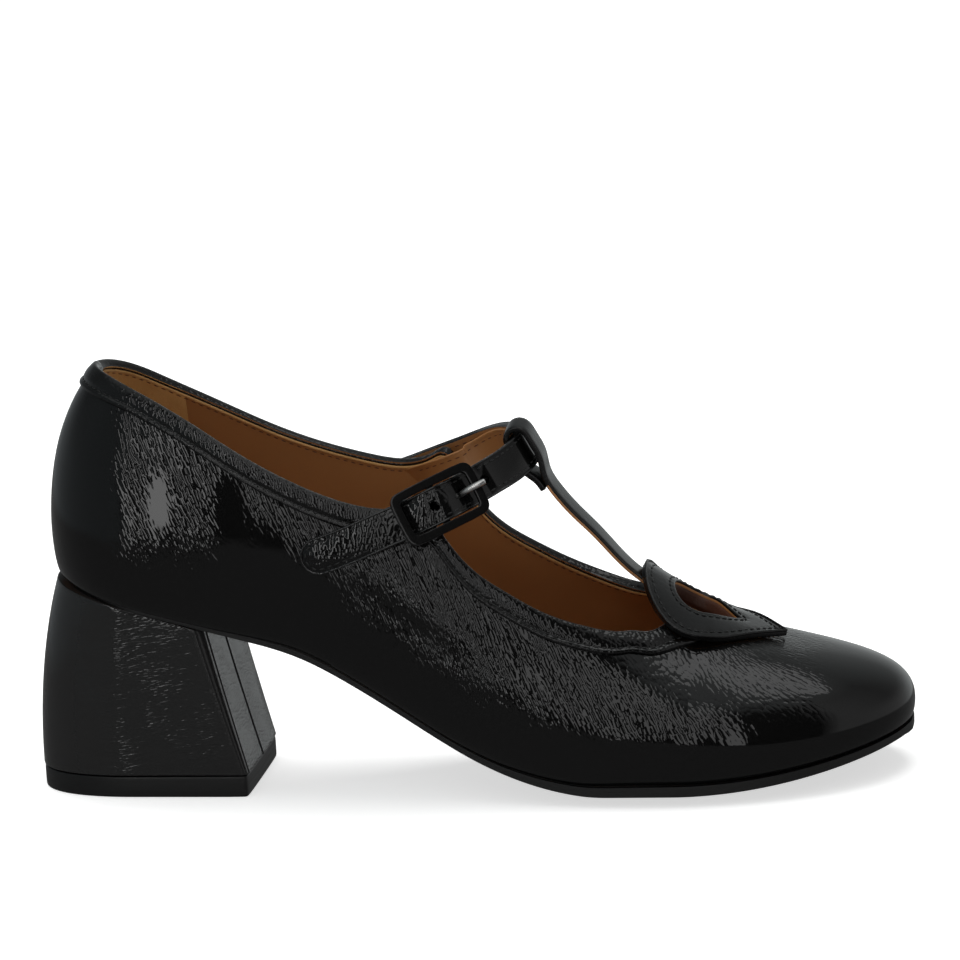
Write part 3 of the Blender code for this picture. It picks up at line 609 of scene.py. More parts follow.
EDGE = PatentLeather("patent_leather_rolled", depth_mm=0.03, coat_ior=1.7)
LEAF = PatentLeather("patent_leather_leaf", depth_mm=0.05, patchy=0.8, gloss_roughness=0.2)
# Heel cover: the patent's near-black lightened to 1a1a1a as a painted reflection of the floor.
HEEL_COVER_PAINTED_REFLECTION = PatentLeather(
    "patent_leather_heel_cover_painted_reflection",
    colour="1a1a1a",
    depth_mm=0.07,
    pitch_mm=(2.4, 1.8, 0.5),
    turn_deg=(0.0, -7.0, 0.0),
    wander=1.7,
    smooth_back_mm=(4.0, 18.0),
    patchy=0.55,
)
LINING = LiningLeather("lining_leather", "925327", "79411b")
# Heel grip and topline lining edge: a lighter, greyer tan, partly the grip leather's own tone and partly
# painted sheen.
GRIP = LiningLeather("lining_leather_heel_grip_painted_sheen", "d2a468", "b98a4e")
SOCK = LiningLeather("lining_leather_sock", "8a4f24", "723c18")
# Keyhole facing: the lining's tan darkened to a dark brown as painted shade under the leaf.
FACING_PAINTED_SHADE = LiningLeather("lining_leather_facing_painted_shade", "4a2612", "391b0c")
SOLE = SoleComposition("sole_composition", "121212")
LIFT = SoleComposition("heel_top_piece_composition", "0e0e0e", 0.36)
ENAMEL = StovedEnamel("black_stoved_enamel")
NICKEL = PlatedNickel("plated_nickel")
THREAD = BondedThread("black_bonded_thread", "181818")
TAN_THREAD = BondedThread("tan_bonded_thread", "5e3a1a")
FLOOR = PaintedFloor("white_floor_paint")


class Curve:
    """Smooth curve through the rows of a table, with optional slopes at its ends."""

    def __init__(
        self,
        xs: Sequence[float],
        ys: Sequence[float],
        start: float | None = None,
        end: float | None = None,
    ) -> None:
        """Solve the slopes.

        Args:
            xs: Rising places.
            ys: Value at each place.
            start: Slope at the first place, or none for a free end.
            end: Slope at the last place, or none for a free end.
        """
        self.xs = np.asarray(xs, float)
        self.ys = np.asarray(ys, float)
        step = np.diff(self.xs)
        rise = np.diff(self.ys) / step
        count = len(self.xs)
        matrix = np.zeros((count, count))
        wanted = np.zeros(count)
        for i in range(1, count - 1):
            matrix[i, i - 1 : i + 2] = (step[i], 2.0 * (step[i - 1] + step[i]), step[i - 1])
            wanted[i] = 3.0 * (rise[i - 1] * step[i] + rise[i] * step[i - 1])
        for row, neighbour, slope, secant in (
            (0, 1, start, rise[0]),
            (count - 1, count - 2, end, rise[-1]),
        ):
            free = slope is None
            matrix[row, row] = 2.0 if free else 1.0
            matrix[row, neighbour] = 1.0 if free else 0.0
            wanted[row] = 3.0 * secant if free else slope
        self.slopes = np.linalg.solve(matrix, wanted)

    def __call__(self, x: float) -> float:
        """Find the value at a place.

        Args:
            x: The place, held at the table's ends.

        Returns:
            The value.
        """
        x = float(np.clip(x, self.xs[0], self.xs[-1]))
        i = int(np.clip(np.searchsorted(self.xs, x) - 1, 0, len(self.xs) - 2))
        step = self.xs[i + 1] - self.xs[i]
        t = (x - self.xs[i]) / step
        return float(
            self.ys[i] * (1 + 2 * t) * (1 - t) ** 2
            + self.ys[i + 1] * t * t * (3 - 2 * t)
            + step * t * (1 - t) * (self.slopes[i] * (1 - t) - self.slopes[i + 1] * t)
        )


def solve(function: Callable[[float], float], wanted: float, low: float, high: float) -> float:
    """Bisect a rising function.

    Args:
        function: Function of one number.
        wanted: Value to reach.
        low: Lower limit.
        high: Upper limit.

    Returns:
        Where the function reaches the value.
    """
    for _ in range(HALVINGS):
        middle = 0.5 * (low + high)
        if function(middle) < wanted:
            low = middle
        else:
            high = middle
    return 0.5 * (low + high)


class Side(Enum):
    """Side of the shoe, with its sign along y."""

    LATERAL = -1
    MEDIAL = 1

    @property
    def column(self) -> str:
        """Column of a table for this side."""
        return self.name.lower()


@dataclass
class Rib:
    """One upright slice of the last, from the feather edge up to the spine."""

    side: Side
    foot: np.ndarray
    inward: np.ndarray
    span: float
    bulge: float
    base: float
    waist: float
    poles: np.ndarray

    def profile(self, t: float) -> np.ndarray:
        """Find a place on the rib.

        Args:
            t: -1 at the feather, 0 at the widest and 1 at the spine.

        Returns:
            Inward distance and height.
        """
        if t < 0.0:
            angle = 0.5 * math.pi * (t + 1.0)
            lift = (self.waist - self.base) * (1.0 - math.cos(angle))
            return np.array((-self.bulge * math.sin(angle), self.base + lift))
        return np.array(((1 - t) ** 3, 3 * t * (1 - t) ** 2, 3 * t * t * (1 - t), t**3)) @ self.poles

    def point(self, t: float) -> np.ndarray:
        """Point of the rib in the shoe's frame."""
        distance, height = self.profile(t)
        return np.array((*(self.foot + self.inward * distance), height))

    def at_height(self, height: float) -> float:
        """Where the rib reaches a height."""
        return solve(lambda t: self.profile(t)[1], height, 0.0, 1.0)

    def at_reach(self, from_spine: float) -> float:
        """Where the rib comes within a distance of the spine."""
        return solve(lambda t: self.profile(t)[0], self.span - from_spine, 0.0, 1.0)


@dataclass
class Last:
    """Form that the shoe is made on: the same sections, sole and toplines as the solids."""

    heel_back: float = 3.2
    heel_round: float = 27.0
    heel_power: float = 2.1
    toe_tip: float = 237.5
    toe_round: float = 62.0
    toe_power: float = 2.15
    keyhole_axis: float = 182.0
    vamp_slope: float = -0.62
    swing_start: float = 60.0
    swing_at_toe: float = 3.0
    swing_power: float = 1.5
    heel_height: float = 61.4
    seat_slope: float = -0.29
    seat_end: float = 47.0
    flat_start: float = 156.0
    flat_end: float = 178.0
    toe_spring: float = 10.0
    toe_spring_power: float = 1.75
    seam_gap: float = 0.3
    band_width: float = 7.0
    collar_end: float = 165.0
    collar_lead: float = 4.0
    back_rounds: int = 12
    section_columns: tuple[str, ...] = (
        "x",
        "lateral",
        "medial",
        "ridge",
        "bulge",
        "rise",
        "k_side",
        "k_top",
    )
    sections: tuple[Row, ...] = (
        (0.0, 25.0, 24.0, 124.0, 1.7, 12.0, 0.55, 0.55),
        (30.2, 25.5, 24.5, 124.0, 2.2, 15.0, 0.55, 0.55),
        (60.0, 26.0, 23.0, 127.0, 3.4, 22.0, 0.54, 0.50),
        (90.0, 27.8, 20.8, 122.0, 3.8, 24.0, 0.50, 0.45),
        (115.0, 31.5, 21.5, 105.5, 3.6, 22.0, 0.46, 0.42),
        (140.0, 36.3, 26.5, 83.5, 2.8, 16.0, 0.43, 0.39),
        (160.0, 39.2, 32.5, 60.9, 2.4, 13.0, 0.41, 0.38),
        (182.0, 39.6, 36.3, 45.1, 2.2, 11.0, 0.43, 0.38),
        (205.0, 38.4, 36.8, 35.0, 2.0, 8.0, 0.50, 0.38),
        (225.0, 37.0, 36.2, 30.0, 1.8, 6.0, 0.60, 0.39),
        (240.0, 36.0, 35.5, 28.0, 1.6, 5.0, 0.62, 0.39),
    )
    arch: tuple[Row, ...] = (
        (60.0, 44.1),
        (74.0, 39.4),
        (85.0, 33.4),
        (96.0, 26.6),
        (107.0, 19.4),
        (118.0, 12.4),
        (129.0, 6.7),
        (140.0, 2.7),
    )
    edge_columns: tuple[str, ...] = ("x", "camber", "thickness")
    sole_edge: tuple[Row, ...] = (
        (0.0, 0.0, 1.2),
        (47.0, 0.0, 1.2),
        (75.0, 0.8, 1.7),
        (110.0, 1.2, 1.7),
        (140.0, 2.4, 2.4),
        (165.0, 3.0, 2.8),
        (200.0, 2.3, 2.7),
        (240.0, 0.8, 1.9),
    )
    side_columns: tuple[str, ...] = ("x", "lateral", "medial")
    collar: tuple[Row, ...] = (
        (14.0, 119.6, 119.6),
        (20.0, 118.2, 117.2),
        (30.0, 114.2, 111.6),
        (45.0, 106.6, 103.2),
        (60.0, 97.6, 95.4),
        (75.0, 89.6, 89.6),
        (88.0, 84.2, 86.2),
        (98.0, 81.8, 84.9),
        (107.0, 80.8, 87.4),
        (112.0, 78.6, 87.6),
        (117.0, 72.2, 76.0),
        (122.0, 66.2, 68.2),
        (132.0, 58.6, 60.6),
        (142.0, 52.6, 54.9),
        (153.0, 48.0, 50.0),
        (163.0, 45.3, 47.2),
        (168.0, 45.2, 47.2),
    )
    throat: tuple[Row, ...] = (
        (172.5, 19.0, 14.8),
        (175.5, 13.4, 12.4),
        (178.5, 10.9, 10.9),
        (182.0, 10.9, 10.9),
    )
    band_front: tuple[Row, ...] = ((172.0, 27.6, 21.8), (177.0, 23.6, 19.9), (182.0, 19.0, 17.6))

    def __post_init__(self) -> None:
        """Turn the tables into curves."""
        self.heel_axis = self.heel_back + self.heel_round
        self.toe_start = self.toe_tip - self.toe_round
        self.shape = self.curves(self.section_columns, self.sections)
        self.edge = self.curves(self.edge_columns, self.sole_edge)
        self.collar_height = self.curves(self.side_columns, self.collar)
        seat = self.heel_height + self.seat_slope * self.seat_end
        self.arch_curve = Curve(
            [self.seat_end, *(row[0] for row in self.arch), self.flat_start],
            [seat, *(row[1] for row in self.arch), 0.0],
            self.seat_slope,
            0.0,
        )
        reach = (self.keyhole_axis - self.toe_start) / self.toe_round
        self.fan_angle = math.asin(reach ** (self.toe_power / 2.0))
        self.throat_width = {}
        self.band_width_front = {}
        for side in Side:
            self.throat_width[side] = self.run_on(self.throat, side, self.collar_place)
            self.band_width_front[side] = self.run_on(self.band_front, side, self.band_place)

    @staticmethod
    def curves(columns: Sequence[str], rows: Sequence[Row]) -> dict[str, Curve]:
        """One curve for each column of a table after its first."""
        table = np.array(rows)
        return {name: Curve(table[:, 0], table[:, i]) for i, name in enumerate(columns) if i}

    def spine(self, x: float) -> float:
        """Middle line of the last in plan."""
        share = max(0.0, (x - self.swing_start) / (self.toe_tip - self.swing_start))
        return self.swing_at_toe * share**self.swing_power

    def sole_top(self, x: float) -> float:
        """Upper face of the sole.

        Args:
            x: Place along the shoe.

        Returns:
            Height of the lasted edge's seat.
        """
        if x <= self.seat_end:
            bottom = self.heel_height + self.seat_slope * x
        elif x < self.flat_start:
            bottom = self.arch_curve(x)
        else:
            past = max(0.0, x - self.flat_end) / (self.toe_tip - self.flat_end)
            bottom = self.toe_spring * past**self.toe_spring_power
        return bottom + self.edge["camber"](x) + self.edge["thickness"](x)

    def outline(self, x: float, side: Side) -> float:
        """Feather edge in plan.

        Args:
            x: Place along the shoe.
            side: Side of the shoe.

        Returns:
            The edge's y.
        """
        taper = 1.0
        if x < self.heel_axis:
            along = min(1.0, (self.heel_axis - x) / self.heel_round)
            taper = (1.0 - along**self.heel_power) ** (1.0 / self.heel_power)
        elif x > self.toe_start:
            along = min(1.0, (x - self.toe_start) / self.toe_round)
            taper = (1.0 - along**self.toe_power) ** (1.0 / self.toe_power)
        return self.spine(x) + side.value * self.shape[side.column](x) * taper

    def rib(self, x: float, side: Side, axis_x: float, slope: float = 0.0) -> Rib:
        """Rib from the feather towards the spine.

        Args:
            x: Place of the rib's foot.
            side: Side of the shoe.
            axis_x: Place on the spine that the rib runs to.
            slope: Slope of the instep there, along the shoe.

        Returns:
            The rib.
        """
        foot = np.array((x, self.outline(x, side)))
        gap = np.array((axis_x, self.spine(axis_x))) - foot
        span = float(np.linalg.norm(gap))
        inward = gap / span
        bulge = self.shape["bulge"](x)
        base = self.sole_top(x) + self.seam_gap
        waist = base + self.shape["rise"](x)
        top = self.shape["ridge"](axis_x)
        k_side = self.shape["k_side"](x)
        k_top = self.shape["k_top"](x) * (span + bulge)
        poles = np.array(
            (
                (-bulge, waist),
                (-bulge, waist + k_side * (top - waist)),
                (span - k_top, top - slope * inward[0] * k_top),
                (span, top),
            )
        )
        return Rib(side, foot, inward, span, bulge, base, waist, poles)

    def heel_rib(self, angle: float, side: Side) -> Rib:
        """Rib of the heel fan, angle 0 at the back."""
        x = self.heel_axis - self.heel_round * math.cos(angle) ** (2.0 / self.heel_power)
        return self.rib(x, side, self.heel_axis)

    def toe_rib(self, share: float, side: Side) -> Rib:
        """Rib of the toe fan.

        Args:
            share: 0 at the tip and 1 beside the keyhole.
            side: Side of the shoe.

        Returns:
            The rib.
        """
        angle = self.fan_angle + (1.0 - share) * (0.5 * math.pi - self.fan_angle)
        x = self.toe_start + self.toe_round * math.sin(angle) ** (2.0 / self.toe_power)
        return self.rib(x, side, self.keyhole_axis, self.vamp_slope)

    def run_on(self, rows: Sequence[Row], side: Side, place: Callable[[Rib], float]) -> Curve:
        """Half-width in front of the collar, running on from a rule for the last collar ribs.

        Args:
            rows: Table of places and half-widths.
            side: Side of the shoe.
            place: Rule that places the line on a rib.

        Returns:
            The half-width along the shoe.
        """
        xs = [self.collar_end - self.collar_lead, self.collar_end]
        widths = []
        for x in xs:
            rib = self.rib(x, side, x)
            widths.append(rib.span - rib.profile(place(rib))[0])
        column = self.side_columns.index(side.column)
        return Curve(xs + [row[0] for row in rows], widths + [row[column] for row in rows])

    def collar_place(self, rib: Rib) -> float:
        """Where the collar's height ends a rib."""
        return rib.at_height(self.collar_height[rib.side.column](rib.foot[0]))

    def band_place(self, rib: Rib) -> float:
        """Lower edge of the band, its width below the collar."""
        return self.below(rib, self.topline(rib), self.band_width)

    @staticmethod
    def below(rib: Rib, end: float, distance: float) -> float:
        """Place on a rib a straight distance short of another."""
        edge = rib.point(end)
        return solve(lambda t: -float(np.linalg.norm(rib.point(t) - edge)), -distance, -1.0, end)

    def topline(self, rib: Rib) -> float:
        """Where the collar or throat ends a rib.

        Args:
            rib: Rib of the last.

        Returns:
            Place on the rib.
        """
        x = rib.foot[0]
        if x <= self.heel_axis:
            height = self.collar_height[rib.side.column]
            guess = rib.at_height(height(self.heel_axis))
            for _ in range(self.back_rounds):
                guess = 0.5 * (guess + rib.at_height(height(rib.point(guess)[0])))
            return guess
        if x <= self.collar_end:
            return self.collar_place(rib)
        return rib.at_reach(self.throat_width[rib.side](min(x, self.keyhole_axis)))

    def band_edge(self, rib: Rib) -> float:
        """Where the band's lower edge crosses a rib.

        Args:
            rib: Rib of the last.

        Returns:
            Place on the rib.
        """
        if rib.foot[0] > self.collar_end:
            return rib.at_reach(self.band_width_front[rib.side](rib.foot[0]))
        return self.band_place(rib)

    def half(self, side: Side, heel_steps: int, step_mm: float, toe_steps: int) -> list[Rib]:
        """Ribs of one side, from beside the heel's back to beside the toe's tip.

        Args:
            side: Side of the shoe.
            heel_steps: Ribs in the heel fan.
            step_mm: Spacing of the square ribs.
            toe_steps: Ribs in the toe fan.

        Returns:
            The ribs in order.
        """
        quarter = 0.5 * math.pi
        ribs = [self.heel_rib(quarter * i / heel_steps, side) for i in range(1, heel_steps + 1)]
        count = round((self.keyhole_axis - self.heel_axis) / step_mm)
        for x in np.linspace(self.heel_axis, self.keyhole_axis, count, endpoint=False)[1:]:
            ribs.append(self.rib(float(x), side, float(x)))
        return ribs + [self.toe_rib(1.0 - i / toe_steps, side) for i in range(toe_steps)]


def grid_normals(grid: np.ndarray, closed: bool) -> np.ndarray:
    """Unit normals of a grid of points.

    Args:
        grid: Points by rib and row.
        closed: Whether the last rib meets the first.

    Returns:
        A normal for each point.
    """
    if closed:
        along = np.roll(grid, -1, axis=0) - np.roll(grid, 1, axis=0)
    else:
        along = np.gradient(grid, axis=0)
    normals = np.cross(along, np.gradient(grid, axis=1))
    return normals / np.linalg.norm(normals, axis=2, keepdims=True)


def grid_mesh(points: np.ndarray, closed: bool, skin: np.ndarray | None = None) -> bmesh.types.BMesh:
    """Lay a grid made by Blender over rows of points.

    Args:
        points: Shoe millimetres by rib and row.
        closed: Whether the grid closes on its first rib.
        skin: Place of each point on the unrolled skin in millimetres, with one more rib where closed.

    Returns:
        A mesh in part metres, with the skin as its UV map.
    """
    ribs = len(points) if closed else len(points) - 1
    rows = points.shape[1] - 1
    mesh = bmesh.new()
    bmesh.ops.create_grid(mesh, x_segments=ribs, y_segments=rows, size=0.5, calc_uvs=True)
    places = to_part(points)
    index = {}
    for vertex in mesh.verts:
        index[vertex] = (round((vertex.co.x + 0.5) * ribs), round((vertex.co.y + 0.5) * rows))
    if skin is not None:
        layer = mesh.loops.layers.uv.verify()
        for face in mesh.faces:
            for loop in face.loops:
                i, j = index[loop.vert]
                loop[layer].uv = skin[i, j] * MM
    for vertex, (i, j) in index.items():
        vertex.co = places[i % len(points), j]
    if closed:
        bmesh.ops.remove_doubles(mesh, verts=mesh.verts[:], dist=SEAM_WELD_M)
    return mesh


def to_object(name: str, mesh: bmesh.types.BMesh, finishes: Sequence[Finish]) -> bpy.types.Object:
    """Put a mesh into the scene.

    Args:
        name: Name of the object.
        mesh: Its mesh in part metres, which is freed.
        finishes: Its finishes in the order of its material numbers.

    Returns:
        The object.
    """
    data = bpy.data.meshes.new(name)
    mesh.to_mesh(data)
    mesh.free()
    for finish in finishes:
        data.materials.append(finish.material())
    thing = bpy.data.objects.new(name, data)
    bpy.context.scene.collection.objects.link(thing)
    return thing


def finish_piece(
    name: str, mesh: bmesh.types.BMesh, finishes: Sequence[Finish], levels: int = 0
) -> bpy.types.Object:
    """Turn a mesh into a smooth piece that rides on the shoe.

    Args:
        name: Name of the piece.
        mesh: Its mesh in part metres, which is freed.
        finishes: Its finishes in the order of its material numbers.
        levels: Levels of subdivision to apply.

    Returns:
        The piece.
    """
    piece = to_object(name, mesh, finishes)
    if levels:
        refine = piece.modifiers.new("refine", "SUBSURF")
        refine.levels = levels
        refine.render_levels = levels
        apply_modifiers(piece)
    shade_smooth(piece)
    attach(piece, BODY)
    LOG.info("%s: %d faces", name, len(piece.data.polygons))
    return piece


def shade_smooth(piece: bpy.types.Object) -> None:
    """Shade all faces of a piece smoothly."""
    piece.data.polygons.foreach_set("use_smooth", [True] * len(piece.data.polygons))


def apply_modifiers(piece: bpy.types.Object) -> None:
    """Put the evaluated mesh of a piece in its place and drop its modifiers.

    Args:
        piece: Piece with modifiers.
    """
    bpy.context.view_layer.update()
    shaped = piece.evaluated_get(bpy.context.evaluated_depsgraph_get())
    data = bpy.data.meshes.new_from_object(shaped)
    old = piece.data
    piece.modifiers.clear()
    piece.data = data
    bpy.data.meshes.remove(old)
    data.name = piece.name


def thicken(piece: bpy.types.Object, thickness_mm: float, inner_material: int = 0) -> None:
    """Give a sheet a wall towards its inside and apply it.

    Args:
        piece: Sheet whose faces point outwards.
        thickness_mm: Thickness of the wall.
        inner_material: Step from a face's material number to that of the inner face.
    """
    wall = piece.modifiers.new("wall", "SOLIDIFY")
    wall.thickness = thickness_mm * MM
    wall.offset = -1.0
    wall.use_even_offset = False
    wall.material_offset = inner_material
    apply_modifiers(piece)
    shade_smooth(piece)


@dataclass
class Crease:
    """Soft trough with a ridge beside it, from one place on a side of the upper to another."""

    side: Side
    start: Pair
    end: Pair
    half_width: float
    depth: float
    ridge: float = 0.5
    ridge_place: float = 1.7

    def dip(self, x: float, z: float) -> float:
        """How far a point of the side is pressed in.

        Args:
            x: Place along the shoe.
            z: Height.

        Returns:
            Depth in millimetres, negative on the ridge.
        """
        run = np.subtract(self.end, self.start)
        offset = np.subtract((x, z), self.start)
        length = float(np.hypot(*run))
        along = float(offset @ run) / length**2
        if not 0.0 < along < 1.0:
            return 0.0
        across = float(run[0] * offset[1] - run[1] * offset[0]) / length / self.half_width
        ends = math.sin(math.pi * along)
        trough = math.exp(-across * across)
        beside = self.ridge * math.exp(-((across - self.ridge_place) ** 2))
        return self.depth * ends * (trough - beside)


@dataclass
class LastedUpper:
    """Vamp and quarters with their lining, drawn over the last."""

    last: Last
    wall_mm: float = 2.0
    heel_steps: int = 24
    step_mm: float = 1.15
    toe_steps: int = 34
    tuck_rows: int = 9
    side_rows: int = 34
    grip_end: float = 37.0
    tuck_mm: float = 2.4
    sharp_deg: float = 50.0
    swell_mm: float = 0.10
    swell_pitch_mm: float = 12.1281
    calm_rows: int = 8
    calm_toe: Pair = (190.0, 220.0)
    creases: tuple[Crease, ...] = (
        Crease(Side.LATERAL, (48.0, 118.0), (50.0, 52.0), 17.0, -0.45, ridge=0.0),
        Crease(Side.LATERAL, (84.0, 66.0), (128.0, 34.0), 4.6, 0.45),
        Crease(Side.LATERAL, (112.0, 62.0), (146.0, 30.0), 4.0, 0.30),
        Crease(Side.LATERAL, (140.0, 44.0), (176.0, 22.0), 4.4, 0.28),
        Crease(Side.MEDIAL, (84.0, 66.0), (126.0, 36.0), 4.6, 0.40),
        Crease(Side.MEDIAL, (140.0, 42.0), (172.0, 24.0), 4.4, 0.28),
        Crease(Side.MEDIAL, (26.0, 110.0), (34.0, 72.0), 3.2, 0.30),
    )

    def ribs(self) -> list[Rib]:
        """Closed round of ribs from the back of the heel along the outer side.

        Returns:
            The ribs in order.
        """
        steps = (self.heel_steps, self.step_mm, self.toe_steps)
        sides = {side: self.last.half(side, *steps) for side in Side}
        back = self.last.heel_rib(0.0, Side.LATERAL)
        tip = self.last.toe_rib(0.0, Side.LATERAL)
        return [back, *sides[Side.LATERAL], tip, *sides[Side.MEDIAL][::-1]]

    def grid(self, ribs: Sequence[Rib]) -> np.ndarray:
        """Outer face of the upper.

        Args:
            ribs: Ribs of the last.

        Returns:
            Points by rib and row, from the feather to the topline.
        """
        rows = []
        for rib in ribs:
            end = self.last.topline(rib)
            tuck = [-1.0 + i / self.tuck_rows for i in range(self.tuck_rows)]
            side = [end * i / self.side_rows for i in range(self.side_rows + 1)]
            rows.append([rib.point(t) for t in tuck + side])
        return np.array(rows)

    def skin(self, points: np.ndarray) -> np.ndarray:
        """Unroll the outer face.

        Args:
            points: Points by rib and row.

        Returns:
            Distance round the shoe and up the wall, with the first rib again at the end.
        """
        ring = np.concatenate((points, points[:1]))
        middle = ring[:, points.shape[1] // 2]
        around = np.concatenate(([0.0], np.cumsum(np.linalg.norm(np.diff(middle, axis=0), axis=1))))
        up = np.linalg.norm(np.diff(ring, axis=1), axis=2).cumsum(axis=1)
        up = np.concatenate((np.zeros((len(ring), 1)), up), axis=1)
        return np.stack((np.repeat(around[:, None], up.shape[1], axis=1), up), axis=2)

    def crumpled(self, points: np.ndarray) -> np.ndarray:
        """Press the creases and the leather's soft swell into the outer face.

        Args:
            points: Points by rib and row.

        Returns:
            The moved points.
        """
        normals = grid_normals(points, closed=True)
        moved = points.copy()
        last_row = points.shape[1] - 1
        calm_from, calm_to = self.calm_toe
        for i, j in np.ndindex(points.shape[:2]):
            x, y, z = points[i, j]
            edge = smoothstep(j / self.calm_rows) * smoothstep((last_row - j) / self.calm_rows)
            toe = 1.0 - smoothstep((x - calm_from) / (calm_to - calm_from))
            dip = sum(c.dip(x, z) for c in self.creases if c.side.value * y > 0.0)
            swell = noise.noise(Vector((x, y, z)) / self.swell_pitch_mm)
            moved[i, j] += normals[i, j] * edge * (toe * self.swell_mm * swell - dip)
        return moved

    def build(self) -> None:
        """Make the upper with its lining inside."""
        points = self.crumpled(self.grid(self.ribs()))
        mesh = grid_mesh(points, True, self.skin(points))
        bmesh.ops.recalc_face_normals(mesh, faces=mesh.faces[:])
        outward = max(mesh.verts, key=lambda vertex: vertex.co.x)
        if outward.normal.x < 0.0:
            bmesh.ops.reverse_faces(mesh, faces=mesh.faces[:])
        piece = finish_piece("lasted_upper", mesh, (SKIN, LINING, GRIP))
        thicken(piece, self.wall_mm, inner_material=Ply.LINING)
        for face in piece.data.polygons:
            if face.material_index != Ply.LINING:
                continue
            x, _y, z = to_shoe(face.center)
            if z < self.last.sole_top(x) + self.tuck_mm:
                face.material_index = Ply.LEATHER
            # Lining behind the heel takes the grip finish, whose lighter tan is partly painted sheen.
            elif x < self.grip_end:
                face.material_index = Ply.GRIP
        piece.data.set_sharp_from_angle(angle=math.radians(self.sharp_deg))
        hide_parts("upper")


@dataclass
class Stitching:
    """Rows of lockstitch, each stitch a small bead sunk into its leather."""

    pitch_mm: float = 2.3
    length_mm: float = 1.75
    width_mm: float = 0.55
    height_mm: float = 0.42
    bead_sides: int = 8
    bead_rings: int = 5

    def __post_init__(self) -> None:
        """Make the stitch that all rows repeat."""
        mesh = bmesh.new()
        segments = {"u_segments": self.bead_sides, "v_segments": self.bead_rings}
        bmesh.ops.create_uvsphere(mesh, radius=1.0, **segments)
        mesh.verts.index_update()
        self.bead = np.array([vertex.co for vertex in mesh.verts])
        self.bead_faces = [[vertex.index for vertex in face.verts] for face in mesh.faces]
        mesh.free()
        self.places: list[Matrix] = []

    def sew(self, path: Sequence[Vector], normals: Sequence[Vector], closed: bool = False) -> None:
        """Sew a row along a path.

        Args:
            path: Points in part metres.
            normals: Outward normal at each point.
            closed: Whether the row closes on itself.
        """
        points = list(path) + ([path[0]] if closed else [])
        outs = list(normals) + ([normals[0]] if closed else [])
        lengths = np.concatenate(([0.0], np.cumsum([(b - a).length for a, b in zip(points, points[1:])])))
        count = max(1, round(lengths[-1] / (self.pitch_mm * MM)))
        for k in range(count):
            s = lengths[-1] * (k + 0.5) / count
            i = int(np.clip(np.searchsorted(lengths, s) - 1, 0, len(points) - 2))
            share = (s - lengths[i]) / (lengths[i + 1] - lengths[i])
            centre = points[i].lerp(points[i + 1], share)
            ahead = (points[i + 1] - points[i]).normalized()
            out = outs[i].lerp(outs[i + 1], share).normalized()
            across = out.cross(ahead).normalized()
            out = ahead.cross(across)
            turn = Matrix((ahead, across, out)).transposed().to_4x4()
            size = Matrix.Diagonal((self.length_mm, self.width_mm, self.height_mm, 1.0))
            size = Matrix.Scale(0.5 * MM, 4) @ size
            self.places.append(Matrix.Translation(centre) @ turn @ size)

    def build(self, name: str, finish: Finish, slot: str) -> None:
        """Join the rows into one piece.

        Args:
            name: Name of the piece.
            finish: Thread.
            slot: Not used.
        """
        LOG.info("%s: %d stitches", name, len(self.places))
        turned = []
        faces = []
        for number, place in enumerate(self.places):
            turned.append(self.bead @ np.array(place.to_3x3()).T + np.array(place.translation))
            faces += [[k + number * len(self.bead) for k in face] for face in self.bead_faces]
        data = bpy.data.meshes.new(name)
        data.from_pydata(np.concatenate(turned).tolist(), [], faces)
        mesh = bmesh.new()
        mesh.from_mesh(data)
        bpy.data.meshes.remove(data)
        piece = finish_piece(name, mesh, (finish,))


